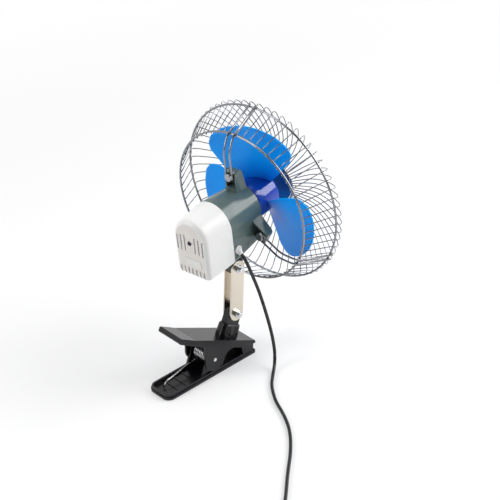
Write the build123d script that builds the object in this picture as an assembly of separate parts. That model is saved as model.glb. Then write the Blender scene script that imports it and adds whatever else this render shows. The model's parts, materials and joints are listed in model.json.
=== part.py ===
"""A 12 V oscillating clip fan: a sprung clip, a two-strap neck, a motor head and a wire guard.

Millimetres, +Z up. The origin is the middle of the clip's flat underside, +X runs to the clip's
nose. The head is drawn in its own frame: the origin where the swivel axis crosses the fan axis,
+X forward along the fan axis. The upper lever is drawn about its pin, u to the nose, v up.
"""
import os
from math import asin, atan2, copysign, cos, degrees, hypot, pi, radians, sin, sqrt, tan

from build123d import *

# ---------------------------------------------------------------- clearances
SEAT_GAP = 0.3          # pieces of two bodies that face each other
RUN_FIT = 0.05          # radial play of a turning fit
HOLE_FIT = 0.1          # radial play of a screw or bolt hole
WELD_GAP = 0.1          # guard wire to the ring that it is welded to
SIDE_SEAT = 0.25        # a flat flange on the head's tapered side

# ---------------------------------------------------------------- clip
CLIP_LENGTH = 121.7
CLIP_WIDTH = 35.0
CLIP_WALL = 2.4
CLIP_PITCH = 27.6       # degrees that the upper lever leans down to the nose
PIN_X = 5.5
PIN_Z = 19.9
PIN_RADIUS = 2.0
PIN_PROUD = 0.4
RIM_HEIGHT = 6.4
STEP_HEIGHT = 3.4
STEP_IN = 1.2
HANDLE_CORNER = 9.0
NOSE_CORNER = 3.0
JAW_HEIGHT = 4.6        # lower jaw's gripping face
JAW_LENGTH = 17.4
TRAY_RIBS = (-42.0, -31.0, -20.0)
TRAY_RIB_THICK = 1.2
TRAY_RIB_HEIGHT = 0.9
JAW_GROOVES = 4
JAW_GROOVE_PITCH = 3.6
JAW_GROOVE_WIDTH = 1.0
JAW_GROOVE_DEPTH = 0.7
EAR_THICK = 2.7
EAR_RADIUS = 9.5
EAR_FOOT_BACK = 19.0
EAR_FOOT_FRONT = 13.0
CHEEK_RADIUS = 13.0
LEVER_TOP = 22.0        # pin axis to the upper lever's flat top
LEVER_NOSE = 51.7
LEVER_CREASE = 35.8
LEVER_HANDLE = 57.8
HANDLE_RISE = 4.5       # degrees that the handle kicks up behind its crease
LEVER_RIM = 8.2
HANDLE_RIM = 6.4
NOSE_RIM = 3.2
ARCH_BACK = 24.8        # where the arch's flat top begins and ends, from the pin
ARCH_FRONT = 35.4
CHEEK_SLANT = 202.0     # degrees round the pin where the cheek's back edge leaves the lobe

# ---------------------------------------------------------------- clip spring
SPRING_WIRE = 1.8
SPRING_RADIUS = 7.4
SPRING_TURNS = 8
SPRING_PITCH = 2.4
SPRING_FOOT = 50.5      # pin to the bend of the lower leg
SPRING_DROP = 10.6      # pin down to that bend
SPRING_TOE = 44.0       # degrees from upright that the toe points
SPRING_REACH = 45.0     # pin to the point under the handle that the upper leg aims at
SPRING_TIP = 0.93       # share of that reach that the wire covers

# ---------------------------------------------------------------- post and neck
POST_PLACE = 23.9       # post's axis, from the pin to the nose
POST_LENGTH = 26.0
POST_WIDTH = 16.0
POST_HEIGHT = 13.3
POST_TAPER = 1.0
POST_CORNER = 6.5
POST_SCREW_PITCH = 12.0
POST_SCREW_RADIUS = 1.5
POST_SCREW_DEPTH = 7.5
POST_SCREW_HEAD = 2.8
FLUTE_RADIUS = 4.2
FLUTE_DEPTH = 1.8
KNUCKLE_THICK = 9.0     # the post's tongue and the knuckle's lug, between the straps
KNUCKLE_RADIUS = 8.5
BOLT_ABOVE_LEVER = 26.2
BOLT_RADIUS = 2.5
BOLT_HEAD_RADIUS = 4.6
BOLT_HEAD_THICK = 2.8
BOLT_PROUD = 2.2
NUT_FLATS = 8.0
NUT_THICK = 4.0
STRAP_LENGTH = 53.7     # bolt to bolt
STRAP_WIDTH = 17.5
STRAP_THICK = 1.6
STRAP_LEAN = 9.14       # degrees forward of upright
STRAP_GAP = 0.1

# ---------------------------------------------------------------- head
HEAD_RISE = 64.55       # top bolt to the fan axis
HEAD_TURN = 8.58        # degrees, where the oscillation stands
HOUSING_BACK = -24.0
HOUSING_FRONT = 24.3
HOUSING_REAR_RADIUS = 26.0
HOUSING_FRONT_RADIUS = 23.7
HOUSING_REAR_DEPTH = 41.0
HOUSING_FRONT_DEPTH = 34.0
HOUSING_WALL = 2.2
SKIRT_CORNER = 7.0
MOTOR_BOSS_RADIUS = 6.0
SOCKET_RADIUS = 7.5
SOCKET_BOTTOM = -43.0
SOCKET_TOP = -33.0
COVER_LENGTH = 36.5
COVER_REAR_RADIUS = 22.0
COVER_REAR_DEPTH = 46.0
COVER_WALL = 1.8
COVER_ROUND = 6.0
COVER_BACK_INSET = 3.2  # extra wall at the rounded back edges
VENT_WIDTH = 1.7
LABEL_LENGTH = 20.0
LABEL_HEIGHT = 7.5
LABEL_THICK = 0.5
LABEL_Y = -3.0
LABEL_Z = -26.0
COVER_SCREW_RADIUS = 1.2
COVER_SCREW_HEAD = 2.4
COVER_SCREW_Z = -3.6
SIDE_VENTS = ((6.8, 4.5, -14.0), (11.9, 4.0, -14.4), (17.0, 2.5, -15.0))   # y, top, low
LOW_VENT_PITCH = 5.2
LOW_VENT_LENGTH = 9.0
LOW_VENT_EDGE = 3.0     # up from the cover's lowest edge
GLAND_X = -18.0
GLAND_Z = -25.0
GLAND_LENGTH = 6.0
GLAND_RADIUS = 3.7
GLAND_TIP = 2.4
GLAND_FLANGE = 4.6
GLAND_FLANGE_THICK = 1.25
GLAND_DIR = Vector(0.12, -0.66, -0.74).normalized()

# ears that carry the guard
EAR_ANGLES = (90, 210, 330)
GUARD_EAR_REACH = 46.0
GUARD_EAR_HALF = 8.0
GUARD_EAR_BACK = 8.6
GUARD_EAR_TIP_FRONT = 19.5
GUARD_EAR_TIP_THIN = 1.0
GUARD_EAR_WALL = 2.2
EAR_POCKET_DEPTH = 7.0
EAR_POCKET_LOW = 27.0
EAR_BOSS_RADIUS = 2.6
EAR_SCREW_PLACE = 40.0
EAR_SCREW_RADIUS = 1.6
EAR_SCREW_HEAD = 4.6

# ---------------------------------------------------------------- guard
MAIN_RING_X = 52.7
MAIN_RING_RADIUS = 100.0
REAR_RING_X = 19.7
REAR_RING_RADIUS = 84.6
CENTRE_RING_X = 75.4
CENTRE_RING_RADIUS = 23.5
RING_WIRE = 1.25
WIRE_RADIUS = 0.65
WIRE_COUNT = 62
WIRE_PHASE = 97.6
WIRE_TAIL = 1.5
DOME = (                # rise before the centre ring, share of the way from it to the main ring
    (3.2, 0.144), (5.5, 0.281), (4.8, 0.425), (1.0, 0.601), (-4.8, 0.804), (-9.8, 0.956),
)
WIRE_TIP_AHEAD = 9.6    # the wires' elbow, from the main ring
WIRE_TIP_OUT = 0.4
STAY_WIRE = 1.1
STAY_HALF = 3.75
STAY_X = 7.4
STAY_ELBOW = 69.0
STAY_TAIL = 2.0
BADGE_THICK = 1.8

# ---------------------------------------------------------------- motor, shaft and blades
MOTOR_RADIUS = 16.5
MOTOR_LENGTH = 42.0
MOTOR_SET_BACK = 14.0   # front wall to the motor, bridged by the housing's inner tube
MOTOR_TUBE_RADIUS = 9.0
MOTOR_CAP_LENGTH = 6.0
MOTOR_BORE = 4.0
MOTOR_BOSS_PROUD = 0.6
BUSH_LENGTH = 5.0
SHAFT_RADIUS = 2.0
SHAFT_FRONT = 56.5
SHAFT_REAR = -52.5
HUB_REAR = 26.4
HUB_FRONT = 59.5
HUB_RADIUS = 22.0
HUB_DRAFT = 1.2
HUB_WALL = 2.4
HUB_BOSS_RADIUS = 6.0
HUB_ROUND = 4.0
BLADE_COUNT = 3
BLADE_SUNK = 2.0         # blade roots below the hub's widest radius, inside its wall
BLADE_RADIUS = 80.0
BLADE_BACK_X = 35.5
BLADE_FRONT_X = 55.0
BLADE_BACK_ANGLE = 42.0
BLADE_FRONT_ANGLE = 132.0
BLADE_ROOT_THICK = 1.8
BLADE_TIP_THICK = 1.1
BLADE_STEP = 6.0         # degrees between sections
BLADE_SHAPE = (          # share of the sweep, root edge's lift, tip edge's drop
    (0.00, 22, 13.0), (0.035, 14, 6.5), (0.10, 4, 2.0), (0.22, 0, 0.0), (0.50, 0, 0.0),
    (0.76, 0, 0.6), (0.90, 0, 3.0), (0.965, 0, 8.0), (1.00, 0, 18.0),
)

# ---------------------------------------------------------------- oscillation gear
WORM_RADIUS = 3.4
WORM_LENGTH = 12.0
WORM_X = -45.0
WHEEL_RADIUS = 7.6
WHEEL_THICK = 5.0
WHEEL_TEETH = 24
TOOTH_DEPTH = 0.9
CASE_TOP = -6.5
CASE_THICK = 4.0
CRANK_TOP = -22.5
CRANK_THICK = 2.0
CRANK_RADIUS = 6.5
CRANK_THROW = 4.0
CRANK_PIN_RADIUS = 1.5
CRANK_PIN_LENGTH = 2.5
LINK_THICK = 2.0
LINK_HALF = 3.4
ARM_THICK = 2.0
ARM_REACH = 14.0
ARM_PIN_RADIUS = 1.6
STEM_RADIUS = 4.0
STEM_NECK_RADIUS = 2.5
SHOULDER_RADIUS = 9.0
SHOULDER_THICK = 8.5
STEM_WASHER_RADIUS = 7.0
STEM_WASHER_THICK = 1.0
STEM_SCREW_RADIUS = 1.2
STEM_SCREW_LENGTH = 9.0
STEM_SCREW_HEAD = 3.6

# ---------------------------------------------------------------- cord and plug
CORD_RADIUS = 1.8
CORD_EXIT = 8.0         # straight out of the gland
CORD_DROP = (
    (50.0, -38.8, 114.5), (55.2, -40.0, 94.0), (58.8, -42.0, 71.0),
    (61.4, -44.2, 49.0), (61.9, -47.2, 30.0), (60.3, -50.0, 15.0), (54.5, -54.8, 4.8),
    (46.5, -61.2, 2.0),
)
CORD_SPLIT = (39.0, -68.4, 2.0)
CORD_RUN = (
    (32.25, -74.88, 2.0), (24.0, -86.4, 2.0), (15.0, -101.6, 2.0), (7.2, -122.0, 2.0),
    (-6.0, -147.0, 2.0), (-27.5, -172.5, 2.0), (-53.5, -196.5, 2.0), (-78.0, -221.5, 2.0),
    (-96.0, -238.0, 2.0),
)
COIL_TURNS = 4          # turns in each of the two layers, and a quarter more
COIL_INNER = 12.0
COIL_PITCH = 4.15
COIL_ENTRY = 16.0       # last floor point to the coil's straight lead-in
COIL_SWERVE = 0.12      # radians that the cord turns there
COIL_LEAD = 8.0

PLUG_LEAD = 24.0        # coil to the plug's boot
PLUG_RADIUS = 10.4
PLUG_LENGTH = 42.0
PLUG_NOSE_RADIUS = 8.6
PLUG_NOSE_LENGTH = 16.0
PLUG_TIP_RADIUS = 3.0
PLUG_TIP_LENGTH = 6.0
PLUG_BOOT_LENGTH = 14.0
PLUG_BOOT_RADIUS = 4.6
PLUG_WING = 1.6

# ---------------------------------------------------------------- placed frames
LEVER = Location((PIN_X, 0, PIN_Z), (0, CLIP_PITCH, 0))
BOLT_LOW = (LEVER * Location((POST_PLACE, 0, LEVER_TOP + BOLT_ABOVE_LEVER))).position
BOLT_TOP = BOLT_LOW + Vector(sin(radians(STRAP_LEAN)), 0, cos(radians(STRAP_LEAN))) * STRAP_LENGTH
SWIVEL = Location((BOLT_TOP.X, 0, BOLT_TOP.Z + HEAD_RISE))
HEAD = SWIVEL * Location((0, 0, 0), (0, 0, HEAD_TURN))
HALF = CLIP_WIDTH / 2
CHEEK_INNER = HALF - CLIP_WALL
STRAP_IN = KNUCKLE_THICK / 2 + STRAP_GAP
STRAP_OUT = STRAP_IN + STRAP_THICK
MOTOR_FRONT = HOUSING_FRONT - HOUSING_WALL - MOTOR_SET_BACK
MOTOR_REAR = MOTOR_FRONT - MOTOR_LENGTH
COVER_BACK = HOUSING_BACK - COVER_LENGTH
WHEEL_Y = WORM_RADIUS + WHEEL_RADIUS + WELD_GAP


# ---------------------------------------------------------------- helpers
def rod_x(radius, start, end, y=0.0, z=0.0):
    """A round bar along X."""
    return Pos((start + end) / 2, y, z) * Rot(0, 90, 0) * Cylinder(radius, abs(end - start))


def rod_y(radius, start, end, x=0.0, z=0.0):
    """A round bar along Y."""
    return Pos(x, (start + end) / 2, z) * Rot(90, 0, 0) * Cylinder(radius, abs(end - start))


def rod_z(radius, start, end, x=0.0, y=0.0):
    """A round bar along Z."""
    return Pos(x, y, (start + end) / 2) * Cylinder(radius, abs(end - start))


def block(x0, x1, y0, y1, z0, z1):
    """A box between its lowest and highest corners."""
    return Pos((x0 + x1) / 2, (y0 + y1) / 2, (z0 + z1) / 2) * Box(x1 - x0, y1 - y0, z1 - z0)


def slab(face, half):
    """An XZ-plane outline made into a plate 2 * half thick about y = 0."""
    return extrude(face, half, both=True)


def outline(*curves):
    """A face on the XZ plane from curves drawn in (x, z)."""
    return Plane.XZ * make_face(Wire([e for curve in curves for e in curve.edges()]))


def spun(angle):
    """Turns what is drawn at the top of the fan axis to another clock angle."""
    return Rot(angle - 90, 0, 0)


def biarcs(stations):
    """One smooth wire through (point, direction) pairs, two tangent arcs to each step."""
    edges = []
    for (a, s), (b, t) in zip(stations, stations[1:]):
        a, b = Vector(*a), Vector(*b)
        s, t = Vector(*s).normalized(), Vector(*t).normalized()
        step = b - a
        if s.dot(t) > 0.999999 and s.dot(step.normalized()) > 0.999999:
            edges.append(Edge.make_line(a, b))
            continue
        both = s + t
        bend = 2 * (1 - s.dot(t))
        along = step.dot(both)
        if bend < 1e-9:
            reach = step.dot(step) / (4 * step.dot(t))
        else:
            reach = (-along + sqrt(along**2 + bend * step.dot(step))) / bend
        first, last = a + s * reach, b - t * reach
        middle = (first + last) * 0.5
        edges.append(Edge.make_tangent_arc(a, s, middle))
        edges.append(Edge.make_tangent_arc(middle, last - first, b))
    return Wire(edges)


def least_gap(points, width, skip):
    """Least surface gap of a tube to itself, between points more than skip apart along it."""
    best = 1e9
    for i, p in enumerate(points):
        for q in points[i + skip:]:
            best = min(best, (p - q).length)
    return best - width


def tube(wire, radius):
    """A round tube along a smooth wire."""
    start = Plane(wire @ 0, z_dir=wire % 0)
    return sweep(start * Circle(radius), path=wire)


# ---------------------------------------------------------------- clip
def lower_lever():
    """The flat lever: a stepped tray with a solid jaw and two ears for the pin."""
    half = CLIP_LENGTH / 2

    def plan(inset, height):
        body = Pos(0, 0, height / 2) * Box(CLIP_LENGTH - 2 * inset, CLIP_WIDTH - 2 * inset, height)
        upright = body.edges().filter_by(Axis.Z)
        back = upright.sort_by(Axis.X)[:2]
        body = fillet(back, HANDLE_CORNER - inset)
        front = body.edges().filter_by(Axis.Z).sort_by(Axis.X)[-2:]
        return fillet(front, NOSE_CORNER - inset)

    body = plan(0, STEP_HEIGHT)
    body = chamfer(body.faces().sort_by(Axis.Z)[0].edges(), 0.8)
    body += plan(STEP_IN, RIM_HEIGHT)
    jaw_back = half - JAW_LENGTH
    body -= block(jaw_back, half + 1, -HALF, HALF, JAW_HEIGHT, RIM_HEIGHT + 1)
    tray_x0 = -half + STEP_IN + CLIP_WALL
    tray_half = HALF - STEP_IN - CLIP_WALL
    tray = block(tray_x0, jaw_back - CLIP_WALL, -tray_half, tray_half, CLIP_WALL, RIM_HEIGHT + 1)
    corners = tray.edges().filter_by(Axis.Z).sort_by(Axis.X)[:2]
    body -= fillet(corners, HANDLE_CORNER - STEP_IN - CLIP_WALL)
    foot = CLIP_WALL / 2
    for x in TRAY_RIBS:
        body += block(x, x + TRAY_RIB_THICK, -tray_half, tray_half, foot, CLIP_WALL + TRAY_RIB_HEIGHT)
    ear = outline(
        Line((PIN_X - EAR_FOOT_BACK, foot), (PIN_X + EAR_FOOT_FRONT, foot)),
        Line((PIN_X + EAR_FOOT_FRONT, foot), (PIN_X + EAR_RADIUS, PIN_Z)),
        Line((PIN_X + EAR_RADIUS, PIN_Z), (PIN_X - EAR_RADIUS, PIN_Z)),
        Line((PIN_X - EAR_RADIUS, PIN_Z), (PIN_X - EAR_FOOT_BACK, foot)),
    )
    ear_mid = CHEEK_INNER - 0.5 - EAR_THICK / 2
    for side in (-1, 1):
        lug = slab(ear, EAR_THICK / 2) + rod_y(EAR_RADIUS, -EAR_THICK / 2, EAR_THICK / 2, PIN_X, PIN_Z)
        body += Pos(0, side * ear_mid, 0) * lug
    body -= rod_y(PIN_RADIUS + 0.02, -HALF, HALF, PIN_X, PIN_Z)
    for k in range(JAW_GROOVES):
        x = jaw_back + JAW_GROOVE_PITCH * (k + 0.9)
        body -= block(x, x + JAW_GROOVE_WIDTH, -HALF, HALF, JAW_HEIGHT - JAW_GROOVE_DEPTH, JAW_HEIGHT + 1)
    return body


def lever_point(x, z):
    """A point of the resting clip in the upper lever's own frame."""
    p = (LEVER.inverse() * Location((x, 0, z))).position
    return (p.X, p.Z)


def upper_lever():
    """The pitched lever: a shallow channel with pin cheeks, an arch and a solid jaw."""
    rise = tan(radians(HANDLE_RISE)) * (LEVER_HANDLE - LEVER_CREASE)
    jaw_z = JAW_HEIGHT + SEAT_GAP
    half = CLIP_LENGTH / 2
    jaw_front = lever_point(half - 3.6, jaw_z)
    jaw_back = lever_point(half - JAW_LENGTH + 0.4, jaw_z)
    rim_low = LEVER_TOP - LEVER_RIM
    slant = radians(CHEEK_SLANT)
    lobe_back = (CHEEK_RADIUS * cos(slant), CHEEK_RADIUS * sin(slant))
    climb = (rim_low - lobe_back[1]) / -cos(slant)
    cheek_top = (lobe_back[0] + climb * sin(slant), rim_low)
    lobe_front = (CHEEK_RADIUS * cos(radians(8)), CHEEK_RADIUS * sin(radians(8)))
    side = outline(
        Polyline(
            cheek_top, (-LEVER_HANDLE + 2, LEVER_TOP + rise - HANDLE_RIM),
            (-LEVER_HANDLE, LEVER_TOP + rise - HANDLE_RIM + 1.5), (-LEVER_HANDLE, LEVER_TOP + rise - 1),
            (-LEVER_HANDLE + 1.5, LEVER_TOP + rise), (-LEVER_CREASE, LEVER_TOP),
            (LEVER_NOSE - 1.2, LEVER_TOP), (LEVER_NOSE, LEVER_TOP - 1.2),
            (LEVER_NOSE + 0.3, LEVER_TOP - NOSE_RIM), (LEVER_NOSE - 0.9, LEVER_TOP - NOSE_RIM - 0.3),
            jaw_front, jaw_back, (ARCH_FRONT, rim_low - 1), (ARCH_FRONT - 1.2, rim_low),
            (ARCH_BACK, rim_low),
        ),
        TangentArc((ARCH_BACK, rim_low), lobe_front, tangent=(-1, 0)),
        ThreePointArc(lobe_front, (0, -CHEEK_RADIUS), lobe_back),
        Line(lobe_back, cheek_top),
    )
    body = slab(side, HALF)
    plate = LEVER_TOP - CLIP_WALL
    hollow = outline(
        Polyline(
            (-LEVER_HANDLE + CLIP_WALL, -30), (-LEVER_HANDLE + CLIP_WALL, plate + rise - 0.2),
            (-LEVER_CREASE, plate), (ARCH_FRONT, plate),
            (ARCH_FRONT, -30), (-LEVER_HANDLE + CLIP_WALL, -30),
        )
    )
    body -= slab(hollow, CHEEK_INNER)
    for y in (-HALF, HALF - STEP_IN):
        body -= block(ARCH_FRONT - 1.3, LEVER_NOSE + 5, y, y + STEP_IN, -5, LEVER_TOP - NOSE_RIM - 0.3)
    body -= rod_y(PIN_RADIUS + RUN_FIT, -HALF - 1, HALF + 1)
    for u in (-1, 1):
        x = POST_PLACE + u * POST_SCREW_PITCH / 2
        body -= rod_z(POST_SCREW_RADIUS + HOLE_FIT, plate - 1, LEVER_TOP + 1, x)
    return LEVER * body


def clip_pin():
    """The plain pivot pin, its ends just proud of the cheeks."""
    end = HALF + PIN_PROUD
    pin = rod_y(PIN_RADIUS, -end, end, PIN_X, PIN_Z)
    return chamfer(pin.edges().filter_by(GeomType.CIRCLE), 0.3)


def clip_spring():
    """The torsion spring round the pin, one unbroken wire with two legs."""
    r = SPRING_RADIUS
    y0 = SPRING_PITCH * SPRING_TURNS / 2
    bend = (-SPRING_FOOT, -SPRING_DROP)
    far = hypot(*bend)
    slope = atan2(-bend[1], -bend[0]) - asin(r / far)
    start = -pi / 2 + slope
    floor_z = CLIP_WALL + SPRING_WIRE / 2 + SEAT_GAP - PIN_Z
    toe = (bend[0] - (bend[1] - floor_z) * tan(radians(SPRING_TOE)), floor_z)
    toe_dir = (bend[0] - toe[0], 0, bend[1] - toe[1])
    leg_dir = (cos(slope), 0, sin(slope))
    run = sqrt(far**2 - r**2)
    unit = Vector(*toe_dir).normalized()
    bend_in = (bend[0] - unit.X * 2, y0, bend[1] - unit.Z * 2)
    bend_out = (bend[0] + leg_dir[0] * 2, y0, bend[1] + leg_dir[2] * 2)
    stations = [((toe[0], y0, toe[1]), toe_dir), (bend_in, toe_dir), (bend_out, leg_dir)]
    lift = radians(90 - CLIP_PITCH)
    under = LEVER_TOP - CLIP_WALL - SPRING_WIRE / 2 - SEAT_GAP
    reach = atan2(under, SPRING_REACH)
    end_dist = hypot(under, SPRING_REACH)
    leave = lift + asin(r / end_dist) - reach
    total = 2 * pi * (SPRING_TURNS - 1) + leave - start
    steps = 4 * SPRING_TURNS
    for k in range(steps + 1):
        a = start + total * k / steps
        share = min(max((k - 0.5) / (steps - 1), 0), 1)
        y = y0 - 2 * y0 * share
        slip = 0 if k in (0, steps) else -2 * y0 / (total * (steps - 1) / steps)
        stations.append(((r * cos(a), y, r * sin(a)), (-r * sin(a), slip, r * cos(a))))
    out = Vector(-sin(leave), 0, cos(leave))
    tip = Vector(r * cos(leave), -y0, r * sin(leave)) + out * (end_dist * SPRING_TIP)
    stations.append(((tip.X, tip.Y, tip.Z), (out.X, 0, out.Z)))
    wire = biarcs(stations)
    points = [wire @ (i / 1500) for i in range(1501)]
    turn_points = int(1500 * pi * r / wire.length)
    gap = least_gap(points[::3], SPRING_WIRE, turn_points // 3)
    print("clip_spring: length %.1f, least gap %.2f" % (wire.length, gap))
    return Pos(PIN_X, 0, PIN_Z) * tube(wire, SPRING_WIRE / 2)


# ---------------------------------------------------------------- post and neck
def post():
    """The fluted post on the lever, with the tongue that the straps hold."""
    foot = Pos(0, 0, LEVER_TOP) * RectangleRounded(POST_LENGTH, POST_WIDTH, POST_CORNER)
    top = Pos(0, 0, LEVER_TOP + POST_HEIGHT) * RectangleRounded(
        POST_LENGTH - 2 * POST_TAPER, POST_WIDTH - 2 * POST_TAPER, POST_CORNER - POST_TAPER
    )
    body = loft([foot, top])
    body = chamfer(body.faces().sort_by(Axis.Z)[-1].edges(), 1.4)
    flute = POST_LENGTH * 0.22
    for u in (-1, 1):
        for side in (-1, 1):
            y = side * (POST_WIDTH / 2 + FLUTE_RADIUS - FLUTE_DEPTH)
            middle = LEVER_TOP + POST_HEIGHT / 2 - 0.6
            body -= Pos(u * flute, y, middle) * Cylinder(FLUTE_RADIUS, POST_HEIGHT - 4)
    bolt = LEVER_TOP + BOLT_ABOVE_LEVER
    half = KNUCKLE_THICK / 2
    body += block(-KNUCKLE_RADIUS, KNUCKLE_RADIUS, -half, half, LEVER_TOP + POST_HEIGHT - 2, bolt)
    body += rod_y(KNUCKLE_RADIUS, -KNUCKLE_THICK / 2, KNUCKLE_THICK / 2, 0, bolt)
    body -= rod_y(BOLT_RADIUS + RUN_FIT, -HALF, HALF, 0, bolt)
    for u in (-1, 1):
        x = u * POST_SCREW_PITCH / 2
        body -= rod_z(POST_SCREW_RADIUS, LEVER_TOP - 1, LEVER_TOP + POST_SCREW_DEPTH + 0.5, x)
    return LEVER * (Pos(POST_PLACE, 0, 0) * body)


def post_screws():
    """Two screws that come up through the lever into the post."""
    plate = LEVER_TOP - CLIP_WALL
    pair = []
    for u in (-1, 1):
        x = POST_PLACE + u * POST_SCREW_PITCH / 2
        screw = rod_z(POST_SCREW_RADIUS, plate, LEVER_TOP + POST_SCREW_DEPTH, x)
        screw += rod_z(POST_SCREW_HEAD, plate - 1.8, plate, x)
        pair.append(LEVER * screw)
    return Compound(pair)


def strap(side):
    """One flat strap of the neck, y outward on its own side."""
    plate = SlotCenterToCenter(STRAP_LENGTH, STRAP_WIDTH)
    for s in (-1, 1):
        plate -= Pos(s * STRAP_LENGTH / 2, 0) * Circle(BOLT_RADIUS + HOLE_FIT)
    body = extrude(plate, STRAP_THICK)
    body = chamfer(body.edges().filter_by(Plane.XY).group_by(SortBy.LENGTH)[-1], 0.3)
    body = Rot(90, 0, 0) * (Pos(0, 0, -STRAP_THICK / 2) * body)
    middle = (BOLT_LOW + BOLT_TOP) * 0.5
    place = Location((middle.X, side * (STRAP_IN + STRAP_THICK / 2), middle.Z), (0, STRAP_LEAN - 90, 0))
    return place * body


def neck_bolts():
    """The two neck bolts, heads on the +Y side."""
    pair = []
    for p in (BOLT_LOW, BOLT_TOP):
        bolt = rod_y(BOLT_RADIUS, -STRAP_OUT - NUT_THICK - BOLT_PROUD, STRAP_OUT, p.X, p.Z)
        head = rod_y(BOLT_HEAD_RADIUS, STRAP_OUT, STRAP_OUT + BOLT_HEAD_THICK, p.X, p.Z)
        head = chamfer(head.faces().sort_by(Axis.Y)[-1].edges(), 1.0)
        pair.append(bolt + head)
    return Compound(pair)


def neck_nuts():
    """The two hexagon nuts, on the -Y side."""
    pair = []
    for p in (BOLT_LOW, BOLT_TOP):
        nut = extrude(RegularPolygon(NUT_FLATS / 2, 6, major_radius=False), NUT_THICK)
        nut -= Pos(0, 0, NUT_THICK / 2) * Cylinder(BOLT_RADIUS + 0.02, NUT_THICK + 1)
        pair.append(Location((p.X, -STRAP_OUT, p.Z), (90, 0, 0)) * nut)
    return Compound(pair)


def knuckle():
    """The lug that hangs between the straps and carries the swivel stem."""
    shoulder_top = SOCKET_BOTTOM - SEAT_GAP
    shoulder_low = shoulder_top - SHOULDER_THICK
    body = rod_y(KNUCKLE_RADIUS, -KNUCKLE_THICK / 2, KNUCKLE_THICK / 2, 0, -HEAD_RISE)
    body += block(
        -KNUCKLE_RADIUS, KNUCKLE_RADIUS, -KNUCKLE_THICK / 2, KNUCKLE_THICK / 2, -HEAD_RISE, shoulder_low + 1
    )
    body += rod_z(SHOULDER_RADIUS, shoulder_low, shoulder_top)
    neck_low = SOCKET_TOP + SEAT_GAP + STEM_WASHER_THICK
    body += rod_z(STEM_RADIUS, shoulder_top, neck_low)
    body += rod_z(STEM_NECK_RADIUS, neck_low, neck_low + ARM_THICK)
    body -= rod_y(BOLT_RADIUS + RUN_FIT, -HALF, HALF, 0, -HEAD_RISE)
    top = neck_low + ARM_THICK
    body -= rod_z(STEM_SCREW_RADIUS + 0.05, top - STEM_SCREW_LENGTH - 3, top + 1)
    return SWIVEL * body


def stem_washer():
    """The washer that keeps the stem in its socket."""
    low = SOCKET_TOP + SEAT_GAP
    return SWIVEL * (
        rod_z(STEM_WASHER_RADIUS, low, low + STEM_WASHER_THICK) - rod_z(STEM_RADIUS + 0.02, low - 1, low + 5)
    )


def outline_xy(reach, big, small):
    """A flat lever outline from a big eye at the origin to a small one at x = -reach."""
    face = Circle(big) + Pos(-reach, 0) * Circle(small)
    bar = make_face(Polyline((0, small), (0, -small), (-reach, -small), (-reach, small), (0, small)))
    return face + bar


def swivel_arm():
    """The arm on top of the stem, with the pin that the link pulls on."""
    low = SOCKET_TOP + SEAT_GAP + STEM_WASHER_THICK
    top = low + ARM_THICK
    plate = outline_xy(ARM_REACH, STEM_RADIUS + 2.0, ARM_PIN_RADIUS + 2.2)
    body = Pos(0, 0, low) * extrude(plate, ARM_THICK)
    body -= rod_z(STEM_NECK_RADIUS + 0.02, low - 1, top + 1)
    body += rod_z(ARM_PIN_RADIUS, top, top + SEAT_GAP + LINK_THICK + 0.8, -ARM_REACH)
    return SWIVEL * body


def stem_screw():
    """The screw that clamps arm and washer to the stem."""
    low = SOCKET_TOP + SEAT_GAP + STEM_WASHER_THICK + ARM_THICK
    shank = rod_z(STEM_SCREW_RADIUS, low - STEM_SCREW_LENGTH, low)
    return SWIVEL * (shank + rod_z(STEM_SCREW_HEAD, low, low + 1.8))


def link_ends():
    """Where the link starts and ends about the swivel: the arm pin and the crank pin."""
    turn = radians(HEAD_TURN)
    cx, cy = WORM_X, WHEEL_Y - CRANK_THROW
    crank = (cx * cos(turn) - cy * sin(turn), cx * sin(turn) + cy * cos(turn))
    return (-ARM_REACH, 0.0), crank


def link_arm():
    """The oscillation link. It turns on the arm's pin and passes just under the crank pin."""
    (ax, ay), (bx, by) = link_ends()
    reach = hypot(bx - ax, by - ay)
    low = SOCKET_TOP + SEAT_GAP + STEM_WASHER_THICK + ARM_THICK + SEAT_GAP
    plate = SlotCenterToCenter(reach, 2 * LINK_HALF)
    plate -= Pos(reach / 2, 0) * Circle(ARM_PIN_RADIUS + RUN_FIT)
    plate -= Pos(-reach / 2, 0) * Circle(CRANK_PIN_RADIUS + RUN_FIT)
    body = extrude(plate, LINK_THICK)
    angle = degrees(atan2(ay - by, ax - bx))
    return SWIVEL * (Location(((ax + bx) / 2, (ay + by) / 2, low), (0, 0, angle)) * body)


# ---------------------------------------------------------------- housing and cover
def arch_face(x, half, depth, corner):
    """The head's section at x: a half circle above a straight skirt."""
    crown = ThreePointArc((-half, 0), (0, half), (half, 0))
    skirt = Polyline((half, 0), (half, -depth), (-half, -depth), (-half, 0))
    face = make_face(Wire([*crown.edges(), *skirt.edges()]))
    low = face.vertices().sort_by(Axis.Y)[:2]
    return Plane(origin=(x, 0, 0), x_dir=(0, 1, 0), z_dir=(1, 0, 0)) * fillet(low, corner)


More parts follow.
